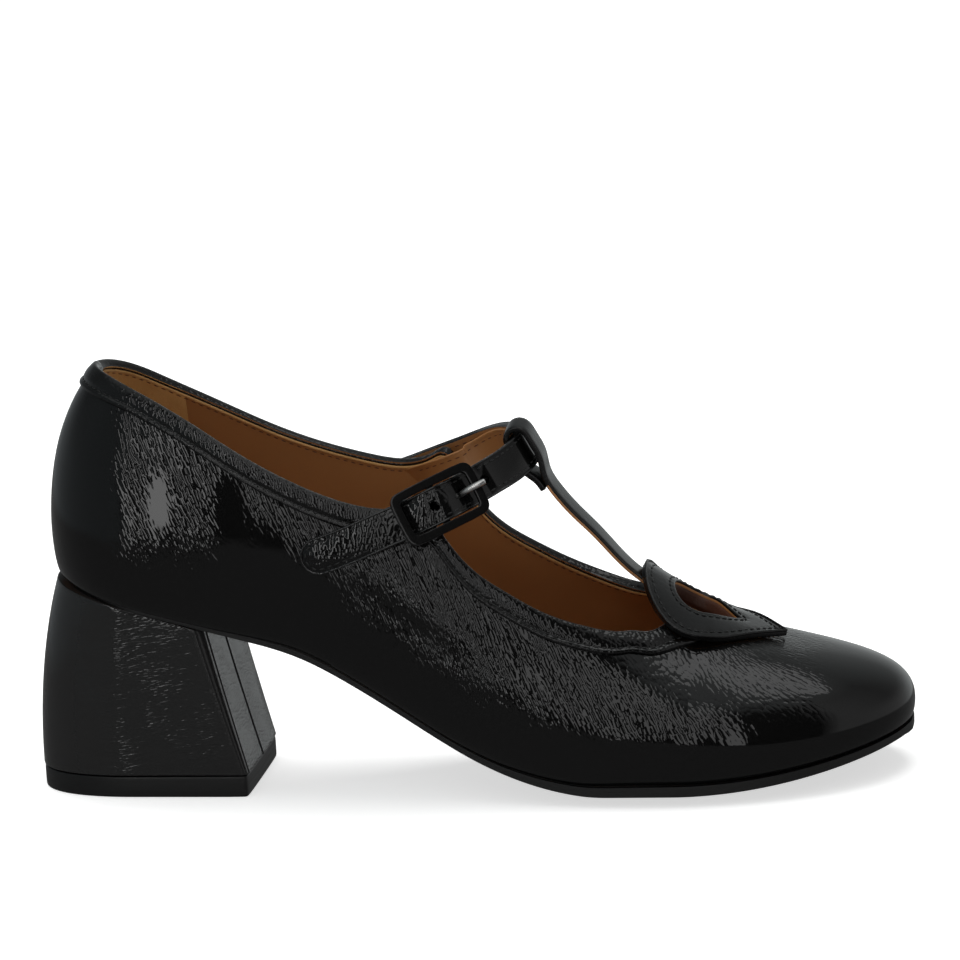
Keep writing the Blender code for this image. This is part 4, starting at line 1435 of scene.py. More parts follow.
@dataclass
class ToplineBinding:
    """Band sewn round the collar and turned over its edge, with the lining's edge inside it."""

    last: Last
    # Columns: distance from the band's lower edge, and lift above the upper.
    outer: tuple[Row, ...] = (
        (0.0, 0.04),
        (0.02, 0.55),
        (0.22, 0.95),
        (0.62, 1.14),
        (1.05, 1.06),
        (1.4, 0.82),
        (1.7, 0.76),
        (2.0, 0.84),
        (2.4, 1.06),
        (3.0, 1.2),
        (4.0, 1.27),
        (5.2, 1.24),
        (6.2, 1.14),
    )
    # Columns of both: distance outwards and upwards from the topline.
    rim: tuple[Row, ...] = (
        (1.02, -0.4),
        (0.82, -0.08),
        (0.4, 0.1),
        (-0.3, 0.16),
        (-1.1, 0.12),
        (-1.75, -0.08),
        (-2.1, -0.5),
        (-2.18, -1.0),
        (-2.04, -1.2),
    )
    lining_edge: tuple[Row, ...] = (
        (-2.02, -1.0),
        (-2.4, -1.12),
        (-2.5, -1.45),
        (-2.36, -1.8),
        (-2.02, -1.9),
    )
    stitch_from_edge: float = 1.7
    lining_stitch: Pair = (-2.02, -2.7)
    facing_row: int = 3
    sheet_mm: float = 0.03
    heel_steps: int = 24
    step_mm: float = 1.15
    toe_steps: int = 2
    end: float = 182.5

    def __post_init__(self) -> None:
        """Find the band's place on each rib, with the outward direction and the way up."""
        kept = {}
        for side in Side:
            ribs = self.last.half(side, self.heel_steps, self.step_mm, self.toe_steps)
            kept[side] = [rib for rib in ribs if rib.foot[0] < self.end]
        back = self.last.heel_rib(0.0, Side.LATERAL)
        shares = [row[0] / self.last.band_width for row in self.outer] + [1.0]
        rows = []
        for rib in (*kept[Side.LATERAL][::-1], back, *kept[Side.MEDIAL]):
            low = self.last.band_edge(rib)
            high = self.last.topline(rib)
            rows.append([rib.point(low + (high - low) * share) for share in shares])
        self.base = np.array(rows)
        self.out = -grid_normals(self.base, closed=False)
        self.up = self.base[:, -1] - self.base[:, -3]
        self.up /= np.linalg.norm(self.up, axis=1, keepdims=True)

    def at_rim(self, rows: Sequence[Row]) -> np.ndarray:
        """Strip along the topline.

        Args:
            rows: Distances outwards and upwards from the topline.

        Returns:
            Points by rib and row.
        """
        top = self.base[:, -1]
        out = self.out[:, -1]
        return np.stack([top + out * a + self.up * b for a, b in rows], axis=1)

    def strip(self, name: str, points: np.ndarray, finish: Finish) -> bpy.types.Object:
        """Make a thin strip over rows of points.

        Args:
            name: Name of the piece.
            points: Points by rib and row.
            finish: Its finish.

        Returns:
            The piece.
        """
        mesh = grid_mesh(points, closed=False)
        middle = len(points) // 2
        back = Vector(to_part(points[middle, self.facing_row]))
        face = min(mesh.faces, key=lambda face: (face.calc_center_median() - back).length)
        face.normal_update()
        if face.normal.dot(Vector(self.out[middle, 0])) < 0.0:
            bmesh.ops.reverse_faces(mesh, faces=mesh.faces[:])
        piece = finish_piece(name, mesh, (finish,))
        thicken(piece, self.sheet_mm)
        return piece

    def build(self, black: Stitching, tan: Stitching) -> None:
        """Make the binding, the lining's edge and their stitch rows.

        Args:
            black: Stitching of the outer rows.
            tan: Stitching of the inner row.
        """
        lifts = np.array([row[1] for row in self.outer])
        face = self.base[:, :-1] + self.out[:, :-1] * lifts[None, :, None]
        points = np.concatenate((face, self.at_rim(self.rim)), axis=1)
        band = self.strip("topline_binding", points, TRIM)
        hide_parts("topline_band")
        # The lining's edge takes the grip finish, whose lighter tan is partly painted sheen.
        self.strip("lining_edge", self.at_rim(self.lining_edge), GRIP)
        row = min(range(len(self.outer)), key=lambda i: abs(self.outer[i][0] - self.stitch_from_edge))
        black.sew(vectors(to_part(face[:, row])), vectors(self.out[:, row]))
        inside = self.at_rim((self.lining_stitch,))[:, 0]
        tan.sew(vectors(to_part(inside)), vectors(-self.out[:, -1]))


def welded(node: bpy.types.Object) -> bmesh.types.BMesh:
    """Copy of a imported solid, with its loose triangles welded and joined to quads.

    Args:
        node: The solid.

    Returns:
        A closed mesh in part metres.
    """
    mesh = bmesh.new()
    mesh.from_mesh(node.data)
    bmesh.ops.remove_doubles(mesh, verts=mesh.verts[:], dist=SOLID_WELD_M)
    bmesh.ops.join_triangles(
        mesh,
        faces=mesh.faces[:],
        angle_face_threshold=math.radians(60.0),
        angle_shape_threshold=math.radians(180.0),
        topology_influence=2.0,
    )
    mesh.normal_update()
    return mesh


def is_sharp(edge: bmesh.types.BMEdge, open_too: bool = True) -> bool:
    """Whether an edge ends a smooth face.

    Args:
        edge: Edge of a solid.
        open_too: What an edge without two faces counts as.

    Returns:
        True where the faces beside it make a sharp angle.
    """
    if len(edge.link_faces) != 2:
        return open_too
    return edge.calc_face_angle() > math.radians(SHARP_DEG)


def patch(mesh: bmesh.types.BMesh, seed_mm: Row) -> list[bmesh.types.BMFace]:
    """Smooth face of a solid: all that joins the face nearest a point without a sharp edge.

    Args:
        mesh: Mesh of the solid.
        seed_mm: Point near the face, in shoe millimetres.

    Returns:
        Faces of the patch.
    """
    mesh.faces.ensure_lookup_table()
    mesh.faces.index_update()
    tree = BVHTree.FromBMesh(mesh)
    first = mesh.faces[tree.find_nearest(Vector(to_part(np.array(seed_mm))))[2]]
    found = {first}
    queue = [first]
    while queue:
        face = queue.pop()
        for edge in face.edges:
            if is_sharp(edge):
                continue
            for other in edge.link_faces:
                if other not in found:
                    found.add(other)
                    queue.append(other)
    return sorted(found, key=lambda face: face.index)


def rims(faces: Sequence[bmesh.types.BMFace]) -> list[list[bmesh.types.BMVert]]:
    """Closed edges of a patch, in the order that keeps the patch on their left.

    Args:
        faces: Faces of the patch.

    Returns:
        Vertices of each edge, the longest first.
    """
    inside = set(faces)
    follow: dict[bmesh.types.BMVert, bmesh.types.BMVert] = {}
    for face in faces:
        for loop in face.loops:
            if not all(other in inside for other in loop.edge.link_faces):
                follow[loop.vert] = loop.link_loop_next.vert
    rings = []
    while follow:
        ring = [next(iter(follow))]
        while ring[-1] in follow:
            ahead = follow.pop(ring[-1])
            if ahead is ring[0]:
                break
            ring.append(ahead)
        rings.append(ring)

    def length(ring: list[bmesh.types.BMVert]) -> float:
        """Length of an edge."""
        return sum((a.co - b.co).length for a, b in zip(ring, ring[1:]))

    return sorted(rings, key=length, reverse=True)


def rim_rows(faces: Sequence[bmesh.types.BMFace], margin_mm: float) -> list[tuple[Loop, Loop]]:
    """Rows that run a margin inside the edges of a patch.

    Args:
        faces: Faces of the patch.
        margin_mm: Distance from the edge.

    Returns:
        Points and normals of each closed row, the longest row first.
    """
    inside = set(faces)
    rows = []
    for ring in rims(faces):
        points = []
        normals = []
        for i, vertex in enumerate(ring):
            normal = Vector((0.0, 0.0, 0.0))
            for face in vertex.link_faces:
                if face in inside:
                    normal += face.normal
            normal.normalize()
            ahead = ring[(i + 1) % len(ring)].co - ring[i - 1].co
            inward = normal.cross(ahead).normalized()
            points.append(vertex.co + inward * margin_mm * MM)
            normals.append(normal)
        rows.append((points, normals))
    return rows


def settle(
    piece: bpy.types.Object, points: Loop, normals: Loop, reach_mm: float = 3.0
) -> tuple[Loop, Loop]:
    """Drop a row onto the finished surface of a piece.

    Args:
        piece: Finished piece.
        points: Points of the row.
        normals: Outward normals of the row.
        reach_mm: How far off the surface may be.

    Returns:
        Points and normals on the surface.
    """
    mesh = bmesh.new()
    mesh.from_mesh(piece.data)
    tree = BVHTree.FromBMesh(mesh)
    mesh.free()
    found = []
    outs = []
    for point, normal in zip(points, normals):
        start = point + normal * reach_mm * MM
        place, out, _face, _distance = tree.ray_cast(start, -normal, 2.0 * reach_mm * MM)
        if place is None:
            place, out, _face, _distance = tree.find_nearest(point)
        found.append(place)
        outs.append(out)
    return found, outs


def groove(
    piece: bpy.types.Object, rows: Sequence[Loop], width_mm: float, depth_mm: float, reach: float = 2.5
) -> None:
    """Press a stitch row's groove into a piece.

    Args:
        piece: Finished piece with a fine mesh.
        rows: Points of each row.
        width_mm: Half-width of the groove.
        depth_mm: Its depth.
        reach: Half-widths after which nothing moves.
    """
    places = np.array([point for row in rows for point in row])
    normals = [vertex.normal.copy() for vertex in piece.data.vertices]
    for vertex, normal in zip(piece.data.vertices, normals):
        near = float(np.min(np.linalg.norm(places - np.array(vertex.co), axis=1))) / (width_mm * MM)
        if near < reach:
            vertex.co -= normal * depth_mm * MM * math.exp(-near * near)


def soften(mesh: bmesh.types.BMesh, width_mm: float, segments: int = 2) -> None:
    """Round the sharp edges of a solid.

    Args:
        mesh: Mesh of the solid.
        width_mm: Width of the rounding.
        segments: Its steps.
    """
    bmesh.ops.bevel(
        mesh,
        geom=[edge for edge in mesh.edges if is_sharp(edge, open_too=False)],
        offset=width_mm * MM,
        offset_type="OFFSET",
        affect="EDGES",
        segments=segments,
        profile=0.5,
        material=-1,
        clamp_overlap=True,
    )


def two_ply(
    mesh: bmesh.types.BMesh,
    outer: Sequence[bmesh.types.BMFace],
    inner: Sequence[bmesh.types.BMFace],
    split: slice = slice(0, 0),
) -> None:
    """Line a strip, and split some of its edges into leather and lining.

    Args:
        mesh: Mesh of the strip.
        outer: Its outer face.
        inner: Its inner face, which gets the lining.
        split: Which of its edges show the lining on their lower half, counted from the longest.
    """

    def place(vertex: bmesh.types.BMVert) -> Row:
        """Place of a vertex, which a subdivision keeps."""
        return tuple(round(c, PLACE_DIGITS) for c in vertex.co)

    tops = {place(vertex) for ring in rims(outer)[split] for vertex in ring}
    lows = {place(vertex) for ring in rims(inner)[split] for vertex in ring}
    across = []
    for edge in mesh.edges:
        ends = {place(vertex) for vertex in edge.verts}
        if len(ends & tops) == 1 and len(ends & lows) == 1:
            across.append(edge)
    for face in inner:
        face.material_index = Ply.LINING
    bmesh.ops.subdivide_edges(mesh, edges=across, cuts=1, use_grid_fill=True)
    for face in mesh.faces:
        corners = {place(vertex) for vertex in face.verts}
        if corners & lows and not corners & tops:
            face.material_index = Ply.LINING


def rolled_edge(
    name: str, row: tuple[Loop, Loop], radius_mm: float, finish: Finish, sides: int = 8
) -> None:
    """Make the rolled bead along a closed edge.

    Args:
        name: Name of the piece.
        row: Points and normals of the bead's middle line.
        radius_mm: Radius of the bead.
        finish: Its finish.
        sides: Steps round the bead.
    """
    points, normals = row
    turns = [2.0 * math.pi * k / sides for k in range(sides + 1)]
    grid = []
    for i, (point, normal) in enumerate(zip(points, normals)):
        ahead = (points[(i + 1) % len(points)] - points[i - 1]).normalized()
        across = normal.cross(ahead).normalized()
        out = ahead.cross(across)
        ring = [point + (across * math.cos(a) + out * math.sin(a)) * radius_mm * MM for a in turns]
        grid.append([to_shoe(place) for place in ring])
    mesh = grid_mesh(np.array(grid), closed=True)
    bmesh.ops.recalc_face_normals(mesh, faces=mesh.faces[:])
    piece = finish_piece(name, mesh, (finish,))


@dataclass
class LeafOverlay:
    """Leaf-shaped piece over the throat, sewn round its edge and round its keyhole."""

    top_seed: Row = (199.0, 2.0, 45.0)
    under_seed: Row = (199.0, 2.0, 20.0)
    edge_mm: float = 0.42
    outer_row_mm: float = 2.4
    keyhole_row_mm: float = 1.7
    roll_row_mm: float = 0.3
    roll_mm: float = 0.42
    groove_mm: Pair = (0.7, 0.16)
    facing_mm: float = 0.2
    facing_down_mm: Row = (-0.7, -0.2, 0.3, 0.9, 1.6, 2.4, 3.0, 3.3, 3.3)
    facing_out_mm: Row = (0.6, 0.25, 0.05, 0.05, 0.1, 0.15, 0.3, 1.2, 2.6)

    def facing(self, under: Sequence[bmesh.types.BMFace]) -> None:
        """Make the lining that is turned in round the keyhole, under the leaf, in a tan darkened as
        painted shade.

        Args:
            under: Faces of the leaf's under side.
        """
        ring = rims(under)[1]
        inside = set(under)
        centre = sum((vertex.co for vertex in ring), Vector()) / len(ring)
        points = []
        for vertex in ring:
            faces = [face for face in vertex.link_faces if face in inside]
            down = sum((face.normal for face in faces), Vector()).normalized()
            out = vertex.co - centre
            out = (out - down * out.dot(down)).normalized()
            steps = zip(self.facing_down_mm, self.facing_out_mm)
            points.append([to_shoe(vertex.co) + np.array(down) * a + np.array(out) * b for a, b in steps])
        mesh = grid_mesh(np.array(points), closed=True)
        bmesh.ops.recalc_face_normals(mesh, faces=mesh.faces[:])
        piece = finish_piece("keyhole_facing", mesh, (FACING_PAINTED_SHADE,))
        thicken(piece, self.facing_mm)

    def build(self, node: bpy.types.Object, black: Stitching) -> None:
        """Make the leaf and its stitch rows.

        Args:
            node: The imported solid.
            black: Stitching of the rows.
        """
        mesh = welded(node)
        top = patch(mesh, self.top_seed)
        under = patch(mesh, self.under_seed)
        outer, _keyhole = rim_rows(top, self.outer_row_mm)
        _outer, keyhole = rim_rows(top, self.keyhole_row_mm)
        self.facing(under)
        rolled_edge("leaf_edge", rim_rows(top, self.roll_row_mm)[0], self.roll_mm, LEAF)
        two_ply(mesh, top, under, slice(1, 2))
        soften(mesh, self.edge_mm)
        piece = finish_piece("leaf_overlay", mesh, (LEAF, LINING), levels=2)
        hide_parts("vamp_overlay")
        rows = [settle(piece, *row) for row in (outer, keyhole)]
        groove(piece, [row[0] for row in rows], *self.groove_mm)
        for points, normals in rows:
            black.sew(points, normals, closed=True)


@dataclass
class InstepStrap:
    """Buckled strap over the instep, lined and sewn along its edges."""

    outer_seed: Row = (84.0, -60.0, 72.0)
    inner_seed: Row = (120.0, -5.0, 83.0)
    edge_mm: float = 0.5
    row_mm: float = 1.45
    roll_row_mm: float = 0.28
    roll_mm: float = 0.36
    sharp_deg: float = 40.0

    def build(self, node: bpy.types.Object, black: Stitching, tan: Stitching) -> None:
        """Make the strap and its rows.

        Args:
            node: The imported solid.
            black: Stitching of the outer row.
            tan: Stitching of the lining's row.
        """
        mesh = welded(node)
        top = patch(mesh, self.outer_seed)
        under = patch(mesh, self.inner_seed)
        outer = rim_rows(top, self.row_mm)[0]
        inner = rim_rows(under, self.row_mm)[0]
        roll = rim_rows(top, self.roll_row_mm)[0]
        rolled_edge("strap_edge", roll, self.roll_mm, EDGE)
        two_ply(mesh, top, under)
        # Each hole is closed at the strap's inner face with black leather, partly the strap lying beneath
        # and partly painted shade in the hole.
        lining = [face for face in mesh.faces if face.material_index == Ply.LINING]
        for ring in rims(lining)[1:]:
            edges = [edge for edge in mesh.edges if set(edge.verts) <= set(ring)]
            bmesh.ops.contextual_create(mesh, geom=edges, mat_nr=Ply.LEATHER)
        soften(mesh, self.edge_mm)
        piece = finish_piece("instep_strap_sewn", mesh, (STRAP, LINING))
        piece.data.set_sharp_from_angle(angle=math.radians(self.sharp_deg))
        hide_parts("instep_strap")
        black.sew(*settle(piece, *outer), closed=True)
        tan.sew(*settle(piece, *inner), closed=True)


@dataclass
class TBarStrap:
    """Narrow strap up the instep with a loop at its top, lined below the loop."""

    outer_seed: Row = (152.0, 0.0, 76.0)
    inner_seed: Row = (146.0, 0.0, 66.0)
    edge_mm: float = 0.4
    lined_from: float = 141.6

    def build(self, node: bpy.types.Object) -> None:
        """Make the strap.

        Args:
            node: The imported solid.
        """
        mesh = welded(node)
        two_ply(mesh, patch(mesh, self.outer_seed), patch(mesh, self.inner_seed), slice(0, 1))
        soften(mesh, self.edge_mm)
        piece = finish_piece("t_bar_folded", mesh, (LEAF, LINING), levels=1)
        for face in piece.data.polygons:
            if to_shoe(face.center)[0] < self.lined_from:
                face.material_index = Ply.LEATHER
        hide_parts("t_bar_strap")


@dataclass
class StrapLining:
    """Lining that runs on from the inner quarter along the inside of the strap, up to the loop."""

    # Columns: lower edge x, y and z, upper edge x, y and z, how far inwards the lower edge and the
    # upper edge stand, and the drop of the upper edge.
    rows: tuple[Row, ...] = (
        (97.6, 24.7, 73.9, 96.4, 22.8, 83.9, 1.0, 1.4, 2.2),
        (102.5, 23.6, 75.6, 101.0, 21.4, 85.6, 2.4, 5.0, 0.9),
        (107.3, 22.7, 77.5, 106.2, 20.5, 87.5, 4.4, 7.6, 0.1),
        (111.9, 22.9, 79.2, 111.7, 20.8, 89.2, 6.2, 8.2, -0.5),
        (116.7, 23.7, 80.7, 115.8, 21.2, 90.7, 5.4, 7.0, -0.3),
        (121.7, 22.9, 82.5, 119.1, 20.1, 92.1, 2.4, 4.0, 0.3),
        (125.8, 20.2, 84.3, 122.7, 17.2, 93.7, 1.0, 1.2, 0.4),
        (129.3, 16.8, 85.8, 126.1, 13.4, 95.0, 0.25, 0.25, 0.4),
        (132.3, 13.0, 86.8, 128.8, 9.4, 95.8, 0.25, 0.25, 0.4),
        (134.7, 8.8, 87.3, 130.0, 7.2, 96.0, 0.25, 0.25, 0.4),
    )
    across: Row = (0.0, 0.14, 0.28, 0.42, 0.56, 0.7, 0.8, 0.87, 0.9, 0.93, 0.96, 0.985, 1.0)
    bead: Row = (0.0, 0.0, 0.0, 0.0, 0.0, 0.0, 0.0, 0.0, 0.22, 0.34, 0.36, 0.24, 0.0)
    stitch_row: int = 6
    stitch_from: int = 8
    stations: int = 56
    sheet_mm: float = 0.2

    def build(self, tan: Stitching) -> None:
        """Make the sheet with the bead along its upper edge.

        Args:
            tan: Stitching of the lining's row.
        """
        table = np.array(self.rows)
        curves = [Curve(range(len(table)), table[:, i]) for i in range(table.shape[1])]
        values = np.array([[c(s) for c in curves] for s in np.linspace(0, len(table) - 1, self.stations)])
        low, top, low_in, top_in, drop = np.split(values, (3, 6, 7, 8), axis=1)
        top = top - drop * np.array((0.0, 0.0, 1.0))
        share = np.array(self.across)[None, :, None]
        base = low[:, None] * (1.0 - share) + top[:, None] * share
        normals = grid_normals(base, closed=False)
        normals *= -np.sign(normals[:, :, 1:2])
        inward = low_in * (1.0 - share[:, :, 0]) + top_in * share[:, :, 0]
        points = base + normals * (inward + np.array(self.bead)[None, :])[:, :, None]
        mesh = grid_mesh(points, closed=False)
        bmesh.ops.recalc_face_normals(mesh, faces=mesh.faces[:])
        mesh.faces.ensure_lookup_table()
        if mesh.faces[0].normal.y > 0.0:
            bmesh.ops.reverse_faces(mesh, faces=mesh.faces[:])
        piece = finish_piece("strap_lining", mesh, (LINING,))
        thicken(piece, self.sheet_mm)
        row = points[self.stitch_from :, self.stitch_row]
        tan.sew(vectors(to_part(row)), vectors(normals[self.stitch_from :, self.stitch_row]))


@dataclass
class CoveredHeel:
    """Flared block heel in its cover: round back, rolled front edges and a seam down the breast."""

    # Columns of both: back, front, and reach to the outer and the inner side.
    floor: Row = (-5.8, 56.4, 23.6, 20.6)
    seat: Row = (2.4, 46.4, 24.4, 22.6)
    round_share: float = 0.56
    round_power: float = 2.4
    side_taper: float = 0.95
    foot: float = 6.3
    seat_height: float = 61.1
    seat_slope: float = -0.29
    inner_corner: float = 1.6
    outer_corner: Pair = (1.6, 3.2)
    panel_inset: Pair = (0.3, 1.2)
    panel_lift: float = 0.3
    panel_ease: float = 0.5
    lap_lift: float = 0.3
    lap_ease: float = 0.3
    lap_end: Pair = (5.0, 4.0)
    seam: float = -2.0
    breast_steps: int = 18
    seam_steps: Row = (-1.2, -0.8, -0.55, -0.4, -0.25, -0.1, 0.05, 0.2, 0.4, 0.8)
    panel_steps: Row = (-0.15, 0.0, 0.15, 0.3, 0.5, 0.8)
    arc_steps: int = 20
    side_steps: int = 12
    corner_steps: int = 8
    levels: int = 36
    edge_mm: float = 0.6
    edge_segments: int = 3
    sharp_deg: float = 40.0
    top_normal: float = 0.8

    def breast(self, start: float, end: float, panel: float) -> list[Pair]:
        """Breast between its corners: the far half is lapped over the near half.

        Args:
            start: Where the breast starts at the inner corner.
            end: Where it ends at the outer corner.
            panel: Edge of the near half.

        Returns:
            Places across the shoe and how far each stands forward.
        """
        spread = np.linspace(start, end, self.breast_steps)[1:-1]
        fine = [self.seam + step for step in self.seam_steps]
        edge = [panel + step for step in self.panel_steps]
        before, ease = self.lap_end
        row = []
        for y in sorted([*spread, *fine, *edge], reverse=True):
            near = smoothstep((y - panel) / self.panel_ease)
            far = smoothstep((y - self.seam) / self.lap_ease + 0.5)
            kept = 1.0 - smoothstep((y - start + before) / ease)
            row.append((y, kept * (self.panel_lift * near + self.lap_lift * far)))
        return row

    def plan(self, share: float) -> list[Pair]:
        """Plan of the heel.

        Args:
            share: 0 at the floor and 1 under the seat.

        Returns:
            Places round the heel, from the outer side over the back.
        """
        back = self.floor[0] + (self.seat[0] - self.floor[0]) * share * share
        front, lateral, medial = (a + (b - a) * share for a, b in zip(self.floor[1:], self.seat[1:]))
        corner = self.outer_corner[0] + (self.outer_corner[1] - self.outer_corner[0]) * share
        length = (front - back) * self.round_share
        points = []
        for i in range(-self.arc_steps, self.arc_steps + 1):
            angle = 0.5 * math.pi * i / self.arc_steps
            side = math.copysign(abs(math.sin(angle)) ** (2.0 / self.round_power), i)
            x = back + length * (1.0 - max(0.0, math.cos(angle)) ** (2.0 / self.round_power))
            points.append((x, (lateral if i < 0 else medial) * side * self.side_taper))
        run = np.linspace(0.0, 1.0, self.side_steps + 1)[1:-1]
        turn = [0.5 * math.pi * i / (self.corner_steps - 1) for i in range(self.corner_steps)]
        stop = np.array((front - self.inner_corner, medial))
        points += [tuple(np.array(points[-1]) * (1.0 - s) + stop * s) for s in run]
        for angle in turn:
            x = front - self.inner_corner * (1.0 - math.sin(angle))
            points.append((x, medial - self.inner_corner * (1.0 - math.cos(angle))))
        inset = self.panel_inset[0] + (self.panel_inset[1] - self.panel_inset[0]) * share
        end = corner - lateral
        points += [(front + x, y) for y, x in self.breast(medial - self.inner_corner, end, end + inset)]
        for angle in turn[::-1]:
            x = front - corner * (1.0 - math.sin(angle))
            points.append((x, corner * (1.0 - math.cos(angle)) - lateral))
        start = np.array(points[-1])
        points += [tuple(start * (1.0 - s) + np.array(points[0]) * s) for s in run]
        return points

    def build(self) -> None:
        """Make the covered heel."""
        rows = []
        for level in range(self.levels + 1):
            share = level / self.levels
            ring = []
            for x, y in self.plan(share):
                top = self.seat_height + self.seat_slope * x
                ring.append((x, y, self.foot + (top - self.foot) * share))
            rows.append(ring)
        mesh = grid_mesh(np.array(rows).transpose(1, 0, 2), closed=True)
        bmesh.ops.holes_fill(mesh, edges=[edge for edge in mesh.edges if edge.is_boundary], sides=0)
        bmesh.ops.recalc_face_normals(mesh, faces=mesh.faces[:])
        soften(mesh, self.edge_mm, self.edge_segments)
        # The cover's lighter colour is a painted reflection of the floor.
        piece = finish_piece("heel_covered", mesh, (HEEL_COVER_PAINTED_REFLECTION, SOLE))
        for face in piece.data.polygons:
            face.material_index = int(face.normal.z > self.top_normal)
        piece.data.set_sharp_from_angle(angle=math.radians(self.sharp_deg))
        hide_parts("heel_block")


@dataclass
class RoundedSolid:
    """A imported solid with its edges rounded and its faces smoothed."""

    node: str
    name: str
    finish: Finish
    slot: str
    edge_mm: float
    segments: int = 2
    levels: int = 2
    swell_mm: float = 0.0
    under: Finish | None = None
    under_normal: float = 0.5

    def build(self, node: bpy.types.Object) -> None:
        """Make the piece.

        Args:
            node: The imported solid.
        """
        mesh = welded(node)
        for vertex, normal in [(vertex, vertex.normal.copy()) for vertex in mesh.verts]:
            vertex.co += normal * self.swell_mm * MM
        soften(mesh, self.edge_mm, self.segments)
        piece = finish_piece(self.name, mesh, (self.finish, self.under or self.finish), self.levels)
        for face in piece.data.polygons:
            face.material_index = int(self.under is not None and face.normal.z < self.under_normal)
        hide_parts(self.node)


ROUNDED = (
    RoundedSolid("outsole", "sole_trimmed", SOLE, "sole_rubber", 0.45),
    RoundedSolid("insole", "sock", SOCK, "lining_leather", 0.5, levels=1, under=SOLE),
    RoundedSolid("heel_top_lift", "heel_top_piece", LIFT, "top_lift_rubber", 0.45),
    RoundedSolid("buckle_frame", "buckle_frame_enamelled", ENAMEL, "buckle_enamel", 0.85, 3, levels=1),
    RoundedSolid("buckle_prong", "buckle_prong_plated", NICKEL, "prong_nickel", 0.2, 2, 1, swell_mm=0.2),
)


@dataclass
class Softbox:
    """Rectangular studio light."""

    name: str
    direction: Row
    distance_m: float
    size_m: Pair
    radiance: float
    mirrored: bool = True

    def build(self, aim: Vector) -> None:
        """Hang the light, facing the shoe.

        Args:
            aim: Point that it faces.
        """
        lamp = bpy.data.lights.new(self.name, "AREA")
        lamp.shape = "RECTANGLE"
        lamp.size, lamp.size_y = self.size_m
        lamp.energy = self.radiance * math.pi * self.size_m[0] * self.size_m[1]
        light = bpy.data.objects.new(self.name, lamp)
        bpy.context.scene.collection.objects.link(light)
        away = Vector(self.direction).normalized()
        light.location = aim + away * self.distance_m
        light.rotation_euler = away.to_track_quat("Z", "Y").to_euler()
        light.visible_glossy = self.mirrored


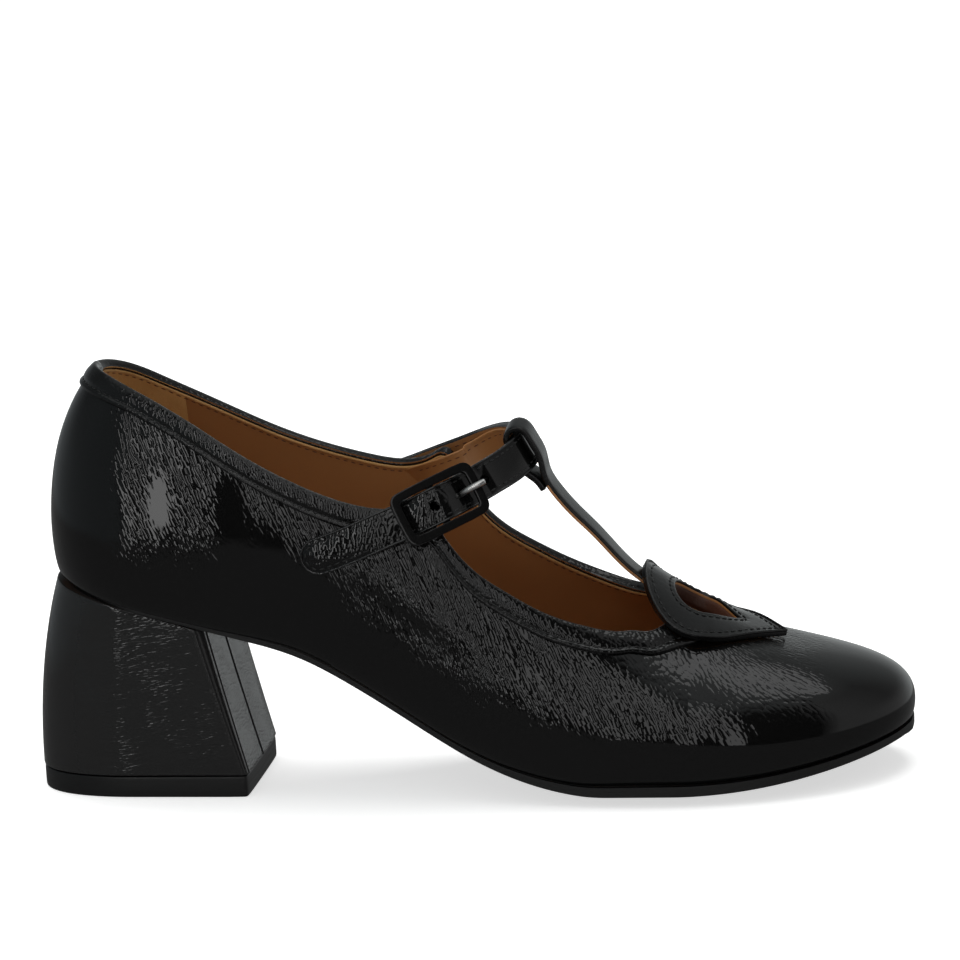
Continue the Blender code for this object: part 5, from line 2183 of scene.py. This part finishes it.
@dataclass
class Studio:
    """Pale floor, soft lights and the camera at the photo's angle."""

    aim: Row = (0.0, 0.0, 0.05)
    eye: Row = (0.24406, -1.43832, 0.40517)
    azimuth_deg: float = 9.412
    elevation_deg: float = 12.458
    roll_deg: float = -3.381
    focal_px: float = 5429.5
    frame_px: float = 960.0
    sensor_mm: float = 36.0
    floor_m: float = 9.0
    floor_squares: int = 6
    table_rise: Pair = (-0.17, -0.13)
    table: str = "606060"
    sky_rise: Pair = (0.82, 0.96)
    sky: str = "a8acac"
    # Columns: bearing in degrees from the front, and colour.
    walls: tuple[tuple[float, str], ...] = (
        (-180.0, "b0b4b4"),
        (-150.0, "7c8082"),
        (-62.0, "6e7476"),
        (-30.0, "6a7072"),
        (-24.0, "1c1c1c"),
        (52.0, "202020"),
        (62.0, "a2a2a2"),
        (120.0, "9c9c9c"),
        (150.0, "b0b4b4"),
        (180.0, "b0b4b4"),
    )
    back_wall: Pair = (-0.3, 0.3)
    back_rise: Pair = (0.1, 0.4)
    back_shade: float = 0.5
    softboxes: tuple[Softbox, ...] = (
        Softbox("strip_left", (-0.390, -0.855, 0.342), 1.6, (0.11, 1.70), 2.7),
        Softbox("strip_front", (-0.137, -0.864, 0.485), 1.7, (0.2, 2.56), 1.3),
        Softbox("strip_middle", (0.107, -0.868, 0.485), 1.7, (0.2, 2.56), 1.15),
        Softbox("strip_right", (0.328, -0.811, 0.485), 1.7, (0.2, 2.56), 1.15),
        Softbox("rear_top", (0.50, 0.36, 1.7), 1.8, (1.0, 0.5), 1.0),
        Softbox("ceiling", (-0.1, 0.25, 1.0), 1.9, (1.6, 1.6), 3.2, mirrored=False),
    )

    def build(self) -> None:
        """Lay the floor, hang the lights and set up the camera."""
        mesh = bmesh.new()
        squares = self.floor_squares
        bmesh.ops.create_grid(mesh, x_segments=squares, y_segments=squares, size=0.5 * self.floor_m)
        floor = to_object("studio_floor", mesh, (FLOOR,))
        floor.visible_glossy = False
        floor.visible_shadow = False
        for softbox in self.softboxes:
            softbox.build(Vector(self.aim))
        self.surround()
        self.camera()

    def surround(self) -> None:
        """Put a dim studio round the lights: a table, walls, dark behind the front strips, and a sky."""
        world = bpy.data.worlds.new("studio")
        world.use_nodes = True
        bpy.context.scene.world = world
        net = Wiring(world.node_tree)
        axes = net.split(net.place("Generated"))
        turn = net.math("ARCTAN2", axes["X"], net.math("MULTIPLY", axes["Y"], -1.0))
        walls = net.add("ShaderNodeValToRGB", {"Fac": net.ranged(turn, (-math.pi, math.pi))})
        stops = walls.color_ramp.elements
        for bearing, colour in self.walls[1:-1]:
            stops.new((bearing + 180.0) / 360.0).color = linear(colour)
        stops[0].color = linear(self.walls[0][1])
        stops[-1].color = linear(self.walls[-1][1])
        behind = net.ranged(axes["Y"], self.back_wall)
        raised = net.ranged(axes["Z"], self.back_rise, (0.0, self.back_shade))
        shaded = net.math("MULTIPLY", behind, raised)
        round_shoe = net.mix(shaded, walls.outputs["Color"], linear("000000"))
        with_table = net.mix(net.ranged(axes["Z"], self.table_rise), linear(self.table), round_shoe)
        whole = net.mix(net.ranged(axes["Z"], self.sky_rise), with_table, linear(self.sky))
        net.fill(world.node_tree.nodes["Background"], {"Color": whole})

    def camera(self) -> None:
        """Set up the camera and the plain colour view."""
        azimuth, elevation, roll = (
            math.radians(a) for a in (self.azimuth_deg, self.elevation_deg, self.roll_deg)
        )
        back = Vector(
            (
                math.sin(azimuth) * math.cos(elevation),
                -math.cos(azimuth) * math.cos(elevation),
                math.sin(elevation),
            )
        )
        level = Vector((0.0, 0.0, 1.0)).cross(back).normalized()
        upright = back.cross(level)
        right = level * math.cos(roll) + upright * math.sin(roll)
        up = upright * math.cos(roll) - level * math.sin(roll)
        lens = bpy.data.cameras.new("photo_camera")
        lens.sensor_width = self.sensor_mm
        lens.lens = self.focal_px * self.sensor_mm / self.frame_px
        view = bpy.data.objects.new("photo_camera", lens)
        bpy.context.scene.collection.objects.link(view)
        turn = Matrix((right, up, back)).transposed().to_4x4()
        view.matrix_world = Matrix.Translation(Vector(self.eye)) @ turn
        bpy.context.scene.camera = view
        bpy.context.scene.view_settings.view_transform = "Standard"


def main() -> None:
    """Build the shoe's pieces in order, then the studio."""
    logging.basicConfig(level=logging.INFO, format="%(name)s: %(message)s")
    for thing in list(bpy.data.objects):
        bpy.data.objects.remove(thing, do_unlink=True)
    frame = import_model()
    nodes = frame["nodes"]
    black = Stitching()
    tan = Stitching(length_mm=1.5, width_mm=0.4, height_mm=0.3)
    last = Last()
    LastedUpper(last).build()
    ToplineBinding(last).build(black, tan)
    LeafOverlay().build(nodes["vamp_overlay"], black)
    InstepStrap().build(nodes["instep_strap"], black, tan)
    TBarStrap().build(nodes["t_bar_strap"])
    StrapLining().build(tan)
    CoveredHeel().build()
    for solid in ROUNDED:
        solid.build(nodes[solid.node])
    black.build("black_stitching", THREAD, "patent_leather")
    tan.build("lining_stitching", TAN_THREAD, "lining_leather")
    Studio().build()
    bpy.context.view_layer.update()


if __name__ == "__main__":
    main()
